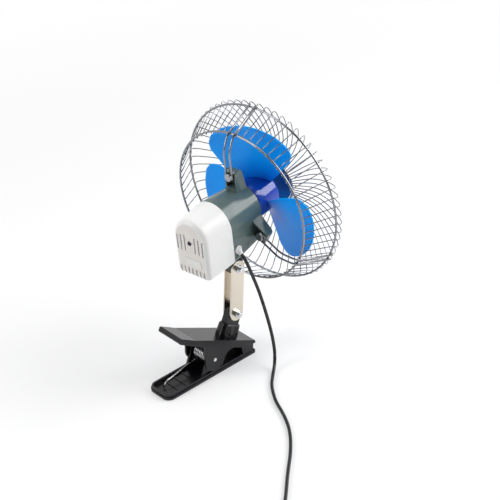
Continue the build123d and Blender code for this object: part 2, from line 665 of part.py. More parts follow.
def guard_ear():
    """A hollow-backed ear at the top of the housing, with a boss for the guard's screw."""
    side = outline(
        Polyline(
            (GUARD_EAR_BACK, 20), (GUARD_EAR_BACK, GUARD_EAR_REACH - 3),
            (GUARD_EAR_BACK + 2.5, GUARD_EAR_REACH), (GUARD_EAR_TIP_FRONT - 2, GUARD_EAR_REACH),
            (GUARD_EAR_TIP_FRONT, GUARD_EAR_REACH - 3), (HOUSING_FRONT - 0.6, 20), (GUARD_EAR_BACK, 20),
        )
    )
    ear = slab(side, GUARD_EAR_HALF)
    wedge = GUARD_EAR_TIP_THIN
    for s in (-1, 1):
        cut = make_face(
            Plane.YZ * Polyline(
                (s * GUARD_EAR_HALF, 22), (s * (GUARD_EAR_HALF - wedge), GUARD_EAR_REACH + 1),
                (s * (GUARD_EAR_HALF + 3), GUARD_EAR_REACH + 1), (s * (GUARD_EAR_HALF + 3), 22),
                (s * GUARD_EAR_HALF, 22),
            )
        )
        ear -= extrude(cut, 40, both=True)
    inner = GUARD_EAR_HALF - GUARD_EAR_WALL
    pocket = block(
        GUARD_EAR_BACK - 1, GUARD_EAR_BACK + EAR_POCKET_DEPTH, -inner, inner,
        EAR_POCKET_LOW, GUARD_EAR_REACH - GUARD_EAR_WALL,
    )
    pocket -= rod_x(EAR_BOSS_RADIUS, GUARD_EAR_BACK, GUARD_EAR_BACK + 20, 0, EAR_SCREW_PLACE)
    ear -= pocket
    ear -= rod_x(EAR_SCREW_RADIUS, GUARD_EAR_BACK - 1, GUARD_EAR_BACK + 9, 0, EAR_SCREW_PLACE)
    return ear


def housing():
    """The motor housing: arch section, front wall, swivel socket and three ears."""
    wall = HOUSING_WALL
    rear, front = HOUSING_REAR_RADIUS, HOUSING_FRONT_RADIUS
    body = loft(
        [
            arch_face(HOUSING_BACK, rear, HOUSING_REAR_DEPTH, SKIRT_CORNER),
            arch_face(HOUSING_FRONT, front, HOUSING_FRONT_DEPTH, SKIRT_CORNER),
        ],
        ruled=True,
    )
    for angle in EAR_ANGLES:
        body += spun(angle) * guard_ear()
    body -= loft(
        [
            arch_face(HOUSING_BACK - 0.01, rear - wall, HOUSING_REAR_DEPTH - wall, SKIRT_CORNER - wall),
            arch_face(HOUSING_FRONT - wall, front - wall, HOUSING_FRONT_DEPTH - wall, SKIRT_CORNER - wall),
        ],
        ruled=True,
    )
    body += rod_z(SOCKET_RADIUS, SOCKET_BOTTOM, SOCKET_TOP)
    body -= rod_z(STEM_RADIUS + RUN_FIT, SOCKET_BOTTOM - 1, SOCKET_TOP + 1)
    body += rod_x(MOTOR_TUBE_RADIUS, MOTOR_FRONT, HOUSING_FRONT)
    body -= rod_x(MOTOR_BOSS_RADIUS + HOLE_FIT, MOTOR_FRONT - 1, HOUSING_FRONT + 1)
    body -= rod_y(CORD_RADIUS + 0.6, -40, -10, GLAND_X, GLAND_Z)
    return HEAD * body


def cover_face(x, grow, inset):
    """The rear cover's section at x, inset by its wall."""
    share = (HOUSING_BACK - x) / COVER_LENGTH
    half = HOUSING_REAR_RADIUS + (COVER_REAR_RADIUS - HOUSING_REAR_RADIUS) * share
    depth = HOUSING_REAR_DEPTH + (COVER_REAR_DEPTH - HOUSING_REAR_DEPTH) * share
    return arch_face(x, half - inset + grow, depth - inset, SKIRT_CORNER)


def rear_cover():
    """The rear cover, a thin cap with rounded back edges and cooling slots."""
    body = loft([cover_face(HOUSING_BACK, 0, 0), cover_face(COVER_BACK, 0, 0)], ruled=True)
    back = body.faces().sort_by(Axis.X)[0]
    body = fillet(back.edges(), COVER_ROUND)
    body -= loft(
        [
            cover_face(HOUSING_BACK + 0.01, 0, COVER_WALL),
            cover_face(COVER_BACK + COVER_WALL, -COVER_BACK_INSET, COVER_WALL),
        ],
        ruled=True,
    )
    vents = [(s * y, top, low) for s in (-1, 1) for y, top, low in SIDE_VENTS]
    low_end = LOW_VENT_EDGE - COVER_REAR_DEPTH
    vents += [(LOW_VENT_PITCH * k, low_end + LOW_VENT_LENGTH, low_end) for k in range(-3, 4)]
    for y, top, low in vents:
        slot = Box(2 * (COVER_ROUND + COVER_WALL), VENT_WIDTH, top - low)
        body -= Pos(COVER_BACK, y, (top + low) / 2) * slot
    body -= rod_x(COVER_SCREW_RADIUS + HOLE_FIT, COVER_BACK - 1, COVER_BACK + 6, 0, COVER_SCREW_Z)
    return HEAD * body


def cover_screw():
    """The screw in the middle of the cover."""
    screw = rod_x(COVER_SCREW_HEAD, COVER_BACK - 1.2, COVER_BACK, 0, COVER_SCREW_Z)
    screw = chamfer(screw.faces().sort_by(Axis.X)[0].edges(), 0.6)
    screw += rod_x(COVER_SCREW_RADIUS, COVER_BACK, COVER_BACK + 8, 0, COVER_SCREW_Z)
    return HEAD * screw


def label_plate():
    """The bare raised plate under the screw."""
    plate = Box(LABEL_THICK, LABEL_LENGTH, LABEL_HEIGHT)
    return HEAD * (Pos(COVER_BACK - LABEL_THICK / 2, LABEL_Y, LABEL_Z) * plate)


def side_half(x):
    """The housing's half width at x."""
    share = (x - HOUSING_BACK) / (HOUSING_FRONT - HOUSING_BACK)
    return HOUSING_REAR_RADIUS + (HOUSING_FRONT_RADIUS - HOUSING_REAR_RADIUS) * share


def gland_frame():
    """The plane on the gland's outer end, facing out along the cord."""
    base = (HEAD * Location((GLAND_X, -side_half(GLAND_X), GLAND_Z))).position
    return Plane(base + GLAND_DIR * GLAND_LENGTH, z_dir=GLAND_DIR)


def cord_gland():
    """The white grommet, flanged on the housing's side, that the cord leaves through."""
    tip = gland_frame()
    cone = loft([tip * Circle(GLAND_TIP), tip.offset(-GLAND_LENGTH) * Circle(GLAND_RADIUS)])
    y = -side_half(GLAND_X)
    seat = y - SIDE_SEAT
    flange = HEAD * rod_y(GLAND_FLANGE, seat - GLAND_FLANGE_THICK, seat, GLAND_X, GLAND_Z)
    inside = HEAD * block(GLAND_X - 20, GLAND_X + 20, seat, y + 20, GLAND_Z - 20, GLAND_Z + 20)
    return (cone - inside) + flange


# ---------------------------------------------------------------- motor, blades and gear
def motor_can():
    """The motor's steel can with its front boss."""
    can = rod_x(MOTOR_RADIUS, MOTOR_REAR + MOTOR_CAP_LENGTH, MOTOR_FRONT)
    can += rod_x(MOTOR_BOSS_RADIUS, MOTOR_FRONT, HOUSING_FRONT + MOTOR_BOSS_PROUD)
    can -= rod_x(MOTOR_BORE, MOTOR_REAR, HOUSING_FRONT + 1)
    return HEAD * can


def motor_cap():
    """The motor's plastic end cap, which holds the brushes."""
    cap = rod_x(MOTOR_RADIUS, MOTOR_REAR, MOTOR_REAR + MOTOR_CAP_LENGTH)
    cap -= rod_x(MOTOR_BORE, MOTOR_REAR - 1, MOTOR_FRONT)
    return HEAD * cap


def motor_bushes():
    """The two plain bushes that the shaft runs in."""
    pair = []
    for x0 in (MOTOR_REAR, HOUSING_FRONT + MOTOR_BOSS_PROUD - BUSH_LENGTH):
        ring = rod_x(MOTOR_BORE - 0.02, x0, x0 + BUSH_LENGTH)
        ring -= rod_x(SHAFT_RADIUS + RUN_FIT, x0 - 1, x0 + BUSH_LENGTH + 1)
        pair.append(HEAD * ring)
    return Compound(pair)


def rotor_shaft():
    """The shaft from the worm to the fan hub."""
    return HEAD * rod_x(SHAFT_RADIUS, SHAFT_REAR, SHAFT_FRONT)


def fan_blades():
    """Three wide helical blades on a cup hub, one moulding."""
    tip = HUB_RADIUS - HUB_DRAFT
    wall = HUB_WALL
    cup = make_face(
        Plane.XY * Polyline(
            (HUB_REAR, tip + HUB_DRAFT), (HUB_FRONT - HUB_ROUND, tip), (HUB_FRONT - 1.2, tip - 1.6),
            (HUB_FRONT, tip - HUB_ROUND), (HUB_FRONT, 0), (HUB_FRONT - 2.5, 0),
            (HUB_FRONT - 2.5, tip - wall - 2), (HUB_FRONT - HUB_ROUND - 1, tip - wall),
            (HUB_REAR, tip + HUB_DRAFT - wall), (HUB_REAR, tip + HUB_DRAFT),
        )
    )
    body = revolve(cup, Axis.X)
    body += rod_x(HUB_BOSS_RADIUS, HUB_REAR + 4, HUB_FRONT - 1)
    for k in range(BLADE_COUNT):
        body += Rot(360 / BLADE_COUNT * k, 0, 0) * blade()
    body -= rod_x(SHAFT_RADIUS + 0.02, HUB_REAR - 1, SHAFT_FRONT)
    return HEAD * body


def blade():
    """One blade, lofted round the axis through thin radial sections of a helicoid."""
    span = BLADE_FRONT_ANGLE - BLADE_BACK_ANGLE
    root = HUB_RADIUS - BLADE_SUNK
    thick_in, thick_out = BLADE_ROOT_THICK / 2, BLADE_TIP_THICK / 2
    sections = []
    for (share, lift, drop), (share_b, lift_b, drop_b) in zip(BLADE_SHAPE, BLADE_SHAPE[1:]):
        steps = max(1, round((share_b - share) * span / BLADE_STEP))
        for k in range(steps + (share_b == 1)):
            t = share + (share_b - share) * k / steps
            inner = root + lift + (lift_b - lift) * k / steps
            outer = BLADE_RADIUS - drop - (drop_b - drop) * k / steps
            a = radians(BLADE_BACK_ANGLE + span * t)
            x = BLADE_BACK_X + (BLADE_FRONT_X - BLADE_BACK_X) * t
            plane = Plane(origin=(0, 0, 0), x_dir=(1, 0, 0), z_dir=(0, -sin(a), cos(a)))
            section = Polyline(
                (x - thick_in, inner), (x + thick_in, inner), (x + thick_out, outer),
                (x - thick_out, outer), (x - thick_in, inner),
            )
            sections.append(plane * make_face(section))
    return loft(sections, ruled=True)


def worm():
    """The worm on the shaft's tail."""
    body = rod_x(WORM_RADIUS, WORM_X - WORM_LENGTH / 2, WORM_X + WORM_LENGTH / 2)
    body -= rod_x(SHAFT_RADIUS + 0.02, WORM_X - WORM_LENGTH, WORM_X + WORM_LENGTH)
    return HEAD * body


def worm_wheel():
    """The toothed wheel beside the worm, on an upright shaft that goes down to the crank."""
    face = Circle(WHEEL_RADIUS)
    for k in range(WHEEL_TEETH):
        notch = Pos(WHEEL_RADIUS, 0) * Rectangle(2 * TOOTH_DEPTH, pi * WHEEL_RADIUS / WHEEL_TEETH)
        face -= Rot(0, 0, 360 / WHEEL_TEETH * k) * notch
    body = Pos(0, 0, -WHEEL_THICK / 2) * extrude(face, WHEEL_THICK)
    body += rod_z(SHAFT_RADIUS, CRANK_TOP - CRANK_THICK, 0)
    return HEAD * (Pos(WORM_X, WHEEL_Y, 0) * body)


def gear_case():
    """The bracket on the motor's rear that carries the wheel's shaft."""
    low = CASE_TOP - CASE_THICK
    reach = CRANK_RADIUS + 1
    body = block(WORM_X - reach, MOTOR_REAR, -6, WHEEL_Y + CRANK_RADIUS - 0.5, low, CASE_TOP)
    body += block(MOTOR_REAR - CASE_THICK / 2, MOTOR_REAR, -13, 13, low, 12)
    body += rod_z(5.0, low - 6, CASE_TOP, WORM_X, WHEEL_Y)
    body -= rod_z(SHAFT_RADIUS + RUN_FIT, low - 7, CASE_TOP + 1, WORM_X, WHEEL_Y)
    body -= rod_x(SHAFT_RADIUS + 1.5, MOTOR_REAR - 3, MOTOR_REAR + 1)
    return HEAD * body


def crank_disc():
    """The crank at the foot of the wheel's shaft, with its pin."""
    low = CRANK_TOP - CRANK_THICK
    body = rod_z(CRANK_RADIUS, low, CRANK_TOP) - rod_z(SHAFT_RADIUS + 0.02, low - 1, CRANK_TOP + 1)
    body += rod_z(CRANK_PIN_RADIUS, low - CRANK_PIN_LENGTH, low, 0, -CRANK_THROW)
    return HEAD * (Pos(WORM_X, WHEEL_Y, 0) * body)


# ---------------------------------------------------------------- guard
def ring(x, radius, wire):
    """A six-sided wire ring about the fan axis."""
    section = Plane.XY * Pos(x, radius) * RegularPolygon(wire, 6)
    return HEAD * revolve(section, Axis.X)


def beside(x, r, dist):
    """A point dist to the inner, forward side of a ring's centre, square to the basket's side."""
    dx, dr = MAIN_RING_X - REAR_RING_X, MAIN_RING_RADIUS - REAR_RING_RADIUS
    long = hypot(dx, dr)
    return (x + dist * dr / long, r - dist * dx / long)


def wire_route():
    """The line of one guard wire, from the centre ring round the dome to the rear ring."""
    off = RING_WIRE + WIRE_RADIUS + WELD_GAP
    rear = beside(REAR_RING_X, REAR_RING_RADIUS, off)
    main = beside(MAIN_RING_X, MAIN_RING_RADIUS, off)
    dx, dr = main[0] - rear[0], main[1] - rear[1]
    back = WIRE_TAIL / hypot(dx, dr)
    tail = (rear[0] - dx * back, rear[1] - dr * back)
    start = (CENTRE_RING_X + 0.5, CENTRE_RING_RADIUS + RING_WIRE + WELD_GAP)
    spread = MAIN_RING_RADIUS - CENTRE_RING_RADIUS
    dome = [(CENTRE_RING_X + rise, CENTRE_RING_RADIUS + spread * share) for rise, share in DOME]
    tip = (MAIN_RING_X + WIRE_TIP_AHEAD, MAIN_RING_RADIUS + WIRE_TIP_OUT)
    return [start, *dome, tip, main, tail]


def guard_wires():
    """The radial wires, six-sided and mitred at their bends."""
    points = wire_route()
    path = Polyline(*[(x, r, 0) for x, r in points])
    start = Plane(path @ 0, z_dir=path % 0)
    wire = sweep(start * RegularPolygon(WIRE_RADIUS, 6), path=path, transition=Transition.RIGHT)
    wires = []
    for k in range(WIRE_COUNT):
        wires.append(HEAD * (Rot(WIRE_PHASE + 360 / WIRE_COUNT * k, 0, 0) * wire))
    return Compound(wires)


def guard_stays():
    """Three hairpin wires from the ears, out over both rings."""
    off = -(RING_WIRE + STAY_WIRE + WELD_GAP)
    rear = beside(REAR_RING_X, REAR_RING_RADIUS, off)
    main = beside(MAIN_RING_X, MAIN_RING_RADIUS, off)
    dx, dr = main[0] - rear[0], main[1] - rear[1]
    more = STAY_TAIL / hypot(dx, dr)
    tail = (main[0] + dx * more, main[1] + dr * more)
    bottom = EAR_SCREW_PLACE - STAY_HALF
    bend = (rear[0] - dx * 2 * more, rear[1] - dr * 2 * more)
    leg = [tail, bend, (STAY_X, STAY_ELBOW), (STAY_X, bottom)]
    left = [(x, STAY_HALF, r) for x, r in leg]
    right = [(x, -STAY_HALF, r) for x, r in reversed(leg)]
    path = FilletPolyline(*left, *right, radius=[6, 6, STAY_HALF - 0.01, STAY_HALF - 0.01, 6, 6])
    stay = tube(path, STAY_WIRE)
    return Compound([HEAD * (spun(a) * stay) for a in EAR_ANGLES])


def ear_screws():
    """Three screws with wide heads that clamp the stays to their ears."""
    low = STAY_X - STAY_WIRE
    screws = []
    for a in EAR_ANGLES:
        screw = rod_x(EAR_SCREW_HEAD, low - 1.6, low, 0, EAR_SCREW_PLACE)
        screw = chamfer(screw.faces().sort_by(Axis.X)[0].edges(), 0.7)
        screw += rod_x(EAR_SCREW_RADIUS - 0.02, low, GUARD_EAR_BACK + 8, 0, EAR_SCREW_PLACE)
        screws.append(HEAD * (spun(a) * screw))
    return Compound(screws)


def front_badge():
    """The plain disc that fills the guard's centre ring."""
    radius = CENTRE_RING_RADIUS - RING_WIRE - 0.2
    disc = rod_x(radius, CENTRE_RING_X - BADGE_THICK / 2, CENTRE_RING_X + BADGE_THICK / 2)
    dome = chamfer(disc.faces().sort_by(Axis.X)[-1].edges(), 0.8)
    return HEAD * dome


# ---------------------------------------------------------------- cord and plug
def fillet_radii(points):
    """The largest radius that each corner's two runs allow, at 0.45 of the shorter."""
    radii = []
    for a, b, c in zip(points, points[1:], points[2:]):
        a, b, c = Vector(*a), Vector(*b), Vector(*c)
        turn = radians((b - a).get_angle(c - b))
        radii.append(0.45 * min((b - a).length, (c - b).length) / tan(turn / 2))
    return radii


def cord_tube(name, points):
    """A stretch of cord along straight runs joined by tangent arcs."""
    radii = fillet_radii(points)
    path = FilletPolyline(*points, radius=radii)
    body = tube(path, CORD_RADIUS)
    ideal = pi * CORD_RADIUS**2 * path.length
    print("%s: length %.1f, radii %s, volume ratio %.4f" % (
        name, path.length, " ".join("%.0f" % r for r in radii), body.volume / ideal))
    return body


def cord_drop():
    """The cord from the gland down to the floor."""
    start = gland_frame().origin
    straight = start + GLAND_DIR * CORD_EXIT
    return cord_tube("cord_drop", [tuple(start), tuple(straight), *CORD_DROP, CORD_SPLIT])


def cord_run():
    """The cord along the floor to the coil."""
    return cord_tube("cord_run", [CORD_SPLIT, *CORD_RUN, coil_stations()[0][0]])


def coil_stations():
    """Points and directions of the put-away coil, in along the floor and out on top of it."""
    (x0, y0, z), (x1, y1, _) = CORD_RUN[-2], CORD_RUN[-1]
    heading = atan2(y1 - y0, x1 - x0) - COIL_SWERVE
    outer = COIL_INNER + COIL_PITCH * COIL_TURNS
    entry = Vector(x1 + COIL_ENTRY * cos(heading), y1 + COIL_ENTRY * sin(heading), z)
    centre = entry + Vector(cos(heading), sin(heading), 0) * COIL_LEAD
    centre += Vector(-sin(heading), cos(heading), 0) * outer
    stations = [((entry.X, entry.Y, entry.Z), (cos(heading), sin(heading), 0))]
    begin = heading - pi / 2
    quarters = 8 * COIL_TURNS + 1
    rate = COIL_PITCH / (2 * pi)
    for k in range(quarters + 1):
        a = begin + pi / 2 * k
        past = k - quarters // 2
        r = COIL_INNER + COIL_PITCH / 4 * abs(past)
        slide = 0 if past == 0 or k in (0, quarters) else copysign(rate, past)
        height = z + COIL_PITCH * min(max((past + 1) / 2, 0), 1)
        climb = 0.75 * COIL_PITCH * 2 / pi if past == 0 else 0
        p = centre + Vector(r * cos(a), r * sin(a), 0)
        d = (-r * sin(a) + slide * cos(a), r * cos(a) + slide * sin(a), climb)
        stations.append(((p.X, p.Y, height), d))
    ahead = Vector(-sin(a), cos(a), 0)
    p += ahead * COIL_LEAD
    stations.append(((p.X, p.Y, z + COIL_PITCH), (ahead.X, ahead.Y, 0)))
    return stations


def cord_coil():
    """The rest of the cord, wound in two flat layers."""
    wire = biarcs(coil_stations())
    count = 3000
    points = [wire @ (i / count) for i in range(count + 1)]
    skip = int(count * 2 * COIL_INNER / wire.length)
    print("cord_coil: length %.1f, least gap %.2f" % (
        wire.length, least_gap(points[::4], 2 * CORD_RADIUS, skip // 4)))
    return tube(wire, CORD_RADIUS)


def plug_axis():
    """The plane at the plug boot's mouth, facing along the plug."""
    (x, y, _), (dx, dy, _) = coil_stations()[-1]
    ahead = Vector(dx, dy, 0).normalized()
    lead = Vector(x, y, 0) + ahead * PLUG_LEAD
    return Plane((lead.X, lead.Y, PLUG_RADIUS), z_dir=ahead)


def cord_lead():
    """The short end of the cord from the coil's top down into the plug's boot."""
    (x, y, z), (dx, dy, _) = coil_stations()[-1]
    ahead = Vector(dx, dy, 0).normalized()
    end = plug_axis().origin
    points = [(x, y, z)]
    for share, height in ((0.3, z), (0.7, end.Z)):
        p = Vector(x, y, 0) + ahead * (PLUG_LEAD * share)
        points.append((p.X, p.Y, height))
    points.append(tuple(end))
    return cord_tube("cord_lead", points)


def on_plug(shape):
    """Carries what is drawn along Z from the boot's mouth to where the plug lies."""
    return plug_axis().location * shape


def plug_boot():
    """The tapered boot where the cord goes into the plug."""
    body = loft([Circle(CORD_RADIUS + 1.0), Pos(0, 0, PLUG_BOOT_LENGTH) * Circle(PLUG_BOOT_RADIUS)])
    return on_plug(body)


def plug_body():
    """The two-step plastic body of the lighter plug."""
    z0 = PLUG_BOOT_LENGTH
    profile = make_face(
        Plane.XZ * Polyline(
            (0, z0), (PLUG_BOOT_RADIUS + 2, z0), (PLUG_RADIUS, z0 + 8), (PLUG_RADIUS, z0 + PLUG_LENGTH - 3),
            (PLUG_NOSE_RADIUS, z0 + PLUG_LENGTH), (PLUG_NOSE_RADIUS, z0 + PLUG_LENGTH + PLUG_NOSE_LENGTH),
            (PLUG_TIP_RADIUS + 1.5, z0 + PLUG_LENGTH + PLUG_NOSE_LENGTH + 3),
            (0, z0 + PLUG_LENGTH + PLUG_NOSE_LENGTH + 3), (0, z0),
        )
    )
    return on_plug(revolve(profile, Axis.Z))


def plug_tip():
    """The centre contact."""
    z0 = PLUG_BOOT_LENGTH + PLUG_LENGTH + PLUG_NOSE_LENGTH + 3
    tip = rod_z(PLUG_TIP_RADIUS, z0, z0 + PLUG_TIP_LENGTH)
    return on_plug(chamfer(tip.faces().sort_by(Axis.Z)[-1].edges(), 1.2))


def plug_wings():
    """The two side contacts on the plug's nose."""
    z0 = PLUG_BOOT_LENGTH + PLUG_LENGTH + 2
    pair = []
    for s in (-1, 1):
        x = s * (PLUG_NOSE_RADIUS + PLUG_WING / 2)
        pair.append(on_plug(Pos(x, 0, z0 + 6) * Box(PLUG_WING, 4, 12)))
    return Compound(pair)


# ---------------------------------------------------------------- write every piece
PARTS = {
    "lower_lever": lower_lever,
    "upper_lever": upper_lever,
    "clip_pin": clip_pin,
    "clip_spring": clip_spring,
    "post": post,
    "post_screws": post_screws,
    "strap_near": lambda: strap(-1),
    "strap_far": lambda: strap(1),
    "neck_bolts": neck_bolts,
    "neck_nuts": neck_nuts,
    "knuckle": knuckle,
    "stem_washer": stem_washer,
    "swivel_arm": swivel_arm,
    "stem_screw": stem_screw,
    "link_arm": link_arm,
    "housing": housing,
    "rear_cover": rear_cover,
    "cover_screw": cover_screw,
    "label_plate": label_plate,
    "cord_gland": cord_gland,
    "motor_can": motor_can,
    "motor_cap": motor_cap,
    "motor_bushes": motor_bushes,
    "gear_case": gear_case,
    "rotor_shaft": rotor_shaft,
    "fan_blades": fan_blades,
    "worm": worm,
    "worm_wheel": worm_wheel,
    "crank_disc": crank_disc,
    "ring_main": lambda: ring(MAIN_RING_X, MAIN_RING_RADIUS, RING_WIRE),
    "ring_rear": lambda: ring(REAR_RING_X, REAR_RING_RADIUS, RING_WIRE),
    "ring_centre": lambda: ring(CENTRE_RING_X, CENTRE_RING_RADIUS, RING_WIRE),
    "guard_wires": guard_wires,
    "guard_stays": guard_stays,
    "ear_screws": ear_screws,
    "front_badge": front_badge,
    "cord_drop": cord_drop,
    "cord_run": cord_run,
    "cord_coil": cord_coil,
    "cord_lead": cord_lead,
    "plug_boot": plug_boot,
    "plug_body": plug_body,
    "plug_tip": plug_tip,
    "plug_wings": plug_wings,
}

os.makedirs("parts", exist_ok=True)
for name, make in PARTS.items():
    export_step(make(), f"parts/{name}.step")
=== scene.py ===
# %% [markdown]
# # A small clip fan, dressed for its picture
#
# The solids of this fan come from its CAD source: the sprung clip, the neck, the motor head, the
# blades and the wire guard, all at full size. This notebook loads them and gives them what a camera
# sees: eased edges on the small pieces, round wires, thin smooth blades, a limp cord, and a finish on
# each. The big mouldings keep the edges of their solids almost as they are.

# %% Load the solids
import json
import math

import bmesh
import bpy
import numpy as np
from mathutils import Matrix

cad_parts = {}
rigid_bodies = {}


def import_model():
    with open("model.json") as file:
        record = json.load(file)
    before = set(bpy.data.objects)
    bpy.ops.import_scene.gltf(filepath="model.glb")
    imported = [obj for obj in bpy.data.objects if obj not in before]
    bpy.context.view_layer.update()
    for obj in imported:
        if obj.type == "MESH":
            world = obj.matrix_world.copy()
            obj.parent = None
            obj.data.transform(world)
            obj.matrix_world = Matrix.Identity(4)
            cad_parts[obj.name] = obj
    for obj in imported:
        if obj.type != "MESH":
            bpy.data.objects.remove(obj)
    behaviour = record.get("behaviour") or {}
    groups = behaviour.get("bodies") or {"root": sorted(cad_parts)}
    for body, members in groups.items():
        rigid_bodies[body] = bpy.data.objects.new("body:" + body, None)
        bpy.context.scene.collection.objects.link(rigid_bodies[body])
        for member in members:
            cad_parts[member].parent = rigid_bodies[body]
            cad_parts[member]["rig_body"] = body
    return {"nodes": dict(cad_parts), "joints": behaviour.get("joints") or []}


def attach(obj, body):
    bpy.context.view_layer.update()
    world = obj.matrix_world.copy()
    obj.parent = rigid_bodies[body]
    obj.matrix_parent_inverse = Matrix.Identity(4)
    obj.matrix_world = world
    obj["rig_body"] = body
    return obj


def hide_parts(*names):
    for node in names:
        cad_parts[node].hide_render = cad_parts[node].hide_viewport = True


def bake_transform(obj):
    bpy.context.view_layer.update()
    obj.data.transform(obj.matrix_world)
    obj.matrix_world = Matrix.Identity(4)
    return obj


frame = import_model()
nodes = frame["nodes"]
joints = {j["name"]: j for j in frame["joints"]}
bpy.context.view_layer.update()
print("solids:", len(nodes), "joints:", sorted(joints))

# %% [markdown]
# ## One frame for everything
#
# The sizes below are in millimetres, as in the CAD source, and MM turns them into metres where a mesh
# is made. The head stands a little turned on its swivel, so its pieces are worked out in the head's
# own directions (forward along the fan's axle, left, up) and then carried to the fan's frame.

# %% The head's own directions
MM = 0.001
PIVOT = np.array(joints["oscillation"]["pos_m"]) / MM
AHEAD = np.array(joints["blade_spin"]["axis"], float)
UP = np.array([0.0, 0.0, 1.0])
LEFT = np.cross(UP, AHEAD)


def head(points):
    """Head coordinates (forward, left, up) to the fan's frame: pivot + a * ahead + b * left + c * up."""
    return PIVOT + points @ np.array([AHEAD, LEFT, UP])


def around(x, r, clock):
    """Points at x along the axle, r from it, at an angle counted from the left side towards the top."""
    x, r, clock = np.broadcast_arrays(x, r, clock)
    return np.stack([x, r * np.cos(clock), r * np.sin(clock)], -1)


print("swivel axis at", np.round(PIVOT, 2), "fan axle along", np.round(AHEAD, 4))

# %% [markdown]
# ## The camera
#
# A long lens far away, behind the fan, to its right and above it. The values were fitted to things in
# the photograph whose shape is known: the guard's rings are circles and the clip's foot is a straight
# block. The picture is rolled a few degrees, so the camera is rolled too.

# %% Place the camera
PICTURE, SENSOR = 500, 36.0     # the picture's width in pixels, the sensor's in real millimetres
PIXELS_PER_MM = 0.95            # at the distance of the aim
CAMERA_FAR = 2000.0
CAMERA_AIM = np.array([80.38, 0.0, 113.58])
CAMERA_TURN, CAMERA_RISE, CAMERA_ROLL = np.radians([-37.34, 32.38, -6.24])
backward = np.array([
    math.sin(CAMERA_TURN) * math.cos(CAMERA_RISE),
    -math.cos(CAMERA_TURN) * math.cos(CAMERA_RISE),
    math.sin(CAMERA_RISE),
])
level = np.array([math.cos(CAMERA_TURN), math.sin(CAMERA_TURN), 0.0])
upright = np.cross(backward, level)
right = level * math.cos(CAMERA_ROLL) + upright * math.sin(CAMERA_ROLL)
top = upright * math.cos(CAMERA_ROLL) - level * math.sin(CAMERA_ROLL)
camera = bpy.data.objects.new("camera", bpy.data.cameras.new("camera"))
bpy.context.scene.collection.objects.link(camera)
bpy.context.scene.camera = camera
camera.data.sensor_width = SENSOR
camera.data.lens = PIXELS_PER_MM * CAMERA_FAR / PICTURE * SENSOR
camera.data.clip_end = 50.0
place = np.eye(4)
place[:3, 0], place[:3, 1], place[:3, 2] = right, top, backward
place[:3, 3] = (CAMERA_AIM + backward * CAMERA_FAR) * MM
camera.matrix_world = Matrix(place.tolist())
print("lens %.1f mm, camera at" % camera.data.lens, np.round(place[:3, 3], 3))

# %% [markdown]
# ## Meshes from arrays
#
# Every new surface here is a grid of points: one direction runs along the piece and the other runs
# round it. The helpers below turn such a grid into faces and a mesh, make the grid of a round wire with
# its two ends, and round the corners of a bent path.


# %% Grid and wire helpers
def grid_faces(rows, columns, closed, base=0):
    """Quads between neighbouring grid points, as an array; closed joins the last column to the first."""
    r, c = np.meshgrid(np.arange(rows - 1), np.arange(columns if closed else columns - 1), indexing="ij")
    n = (c + 1) % columns
    quads = np.stack([r * columns + c, r * columns + n, (r + 1) * columns + n, (r + 1) * columns + c], -1)
    return quads.reshape(-1, 4) + base


def mesh_piece(name, points, faces, body, material, smooth=True):
    """A piece from points in mm and faces, riding on a body, with one finish."""
    mesh = bpy.data.meshes.new(name)
    mesh.from_pydata((points * MM).tolist(), [], [list(f) for f in faces])
    mesh.validate()
    mesh.polygons.foreach_set("use_smooth", np.full(len(mesh.polygons), smooth))
    piece = bpy.data.objects.new(name, mesh)
    bpy.context.scene.collection.objects.link(piece)
    piece.data.materials.append(material)
    if body:
        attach(piece, body)
    return piece


def wire_grid(path, radius, sides, across):
    """Rings round a path: centre + radius * (cos * first + sin * second), both square to the path.

    across is a direction that the path never follows; the first of the two is the part of it that is
    square to the path's own direction, and the second is square to both.
    """
    along = np.gradient(path, axis=-2)
    along /= np.linalg.norm(along, axis=-1, keepdims=True)
    across = np.broadcast_to(across, along.shape)
    first = across - along * (across * along).sum(-1, keepdims=True)
    first /= np.linalg.norm(first, axis=-1, keepdims=True)
    second = np.cross(along, first)
    turn = np.linspace(0, 2 * np.pi, sides, endpoint=False)[:, None]
    ring = np.cos(turn) * first[..., None, :] + np.sin(turn) * second[..., None, :]
    return path[..., None, :] + radius * ring


def wire_faces(rings, sides, base=0):
    """The skin of a wire and its two flat ends."""
    skin = grid_faces(rings, sides, True, base)[:, ::-1].tolist()
    first = (base + np.arange(sides)).tolist()
    last = (base + (rings - 1) * sides + np.arange(sides)[::-1]).tolist()
    return skin + [last, first]


def bent(points, cuts, steps=7):
    """A path through corners rounded by quadratic curves: (1-t)^2 a + 2t(1-t) corner + t^2 b.

    a and b are the points on the two runs at the cut's distance from the corner.
    """
    points, cuts = np.asarray(points, float), np.asarray(cuts, float)[:, None]
    corner = points[1:-1]
    before = points[:-2] - corner
    after = points[2:] - corner
    a = corner + before / np.linalg.norm(before, axis=1, keepdims=True) * cuts
    b = corner + after / np.linalg.norm(after, axis=1, keepdims=True) * cuts
    t = np.linspace(0, 1, steps)[None, :, None]
    arcs = (1 - t) ** 2 * a[:, None] + 2 * t * (1 - t) * corner[:, None] + t**2 * b[:, None]
    return np.concatenate([points[:1], arcs.reshape(-1, points.shape[1]), points[-1:]])


print("a straight 12-sided wire has", len(wire_faces(2, 12)), "faces, its two ends among them")

# %% [markdown]
# ## Finishes
#
# A moulded or plated surface is never quite even. Each finish is one Principled shader whose colour
# and gloss drift a little with a soft noise, and most have a fine grain. The noise reads Object
# coordinates, which here are metres on the fan, so one finish has the same grain on every piece.


# %% Node helpers
def add_node(tree, kind, operation=None):
    """A new shader node of a kind, set to an operation where it has one."""
    node = tree.nodes.new("ShaderNode" + kind)
    if operation:
        node.operation = operation
    return node


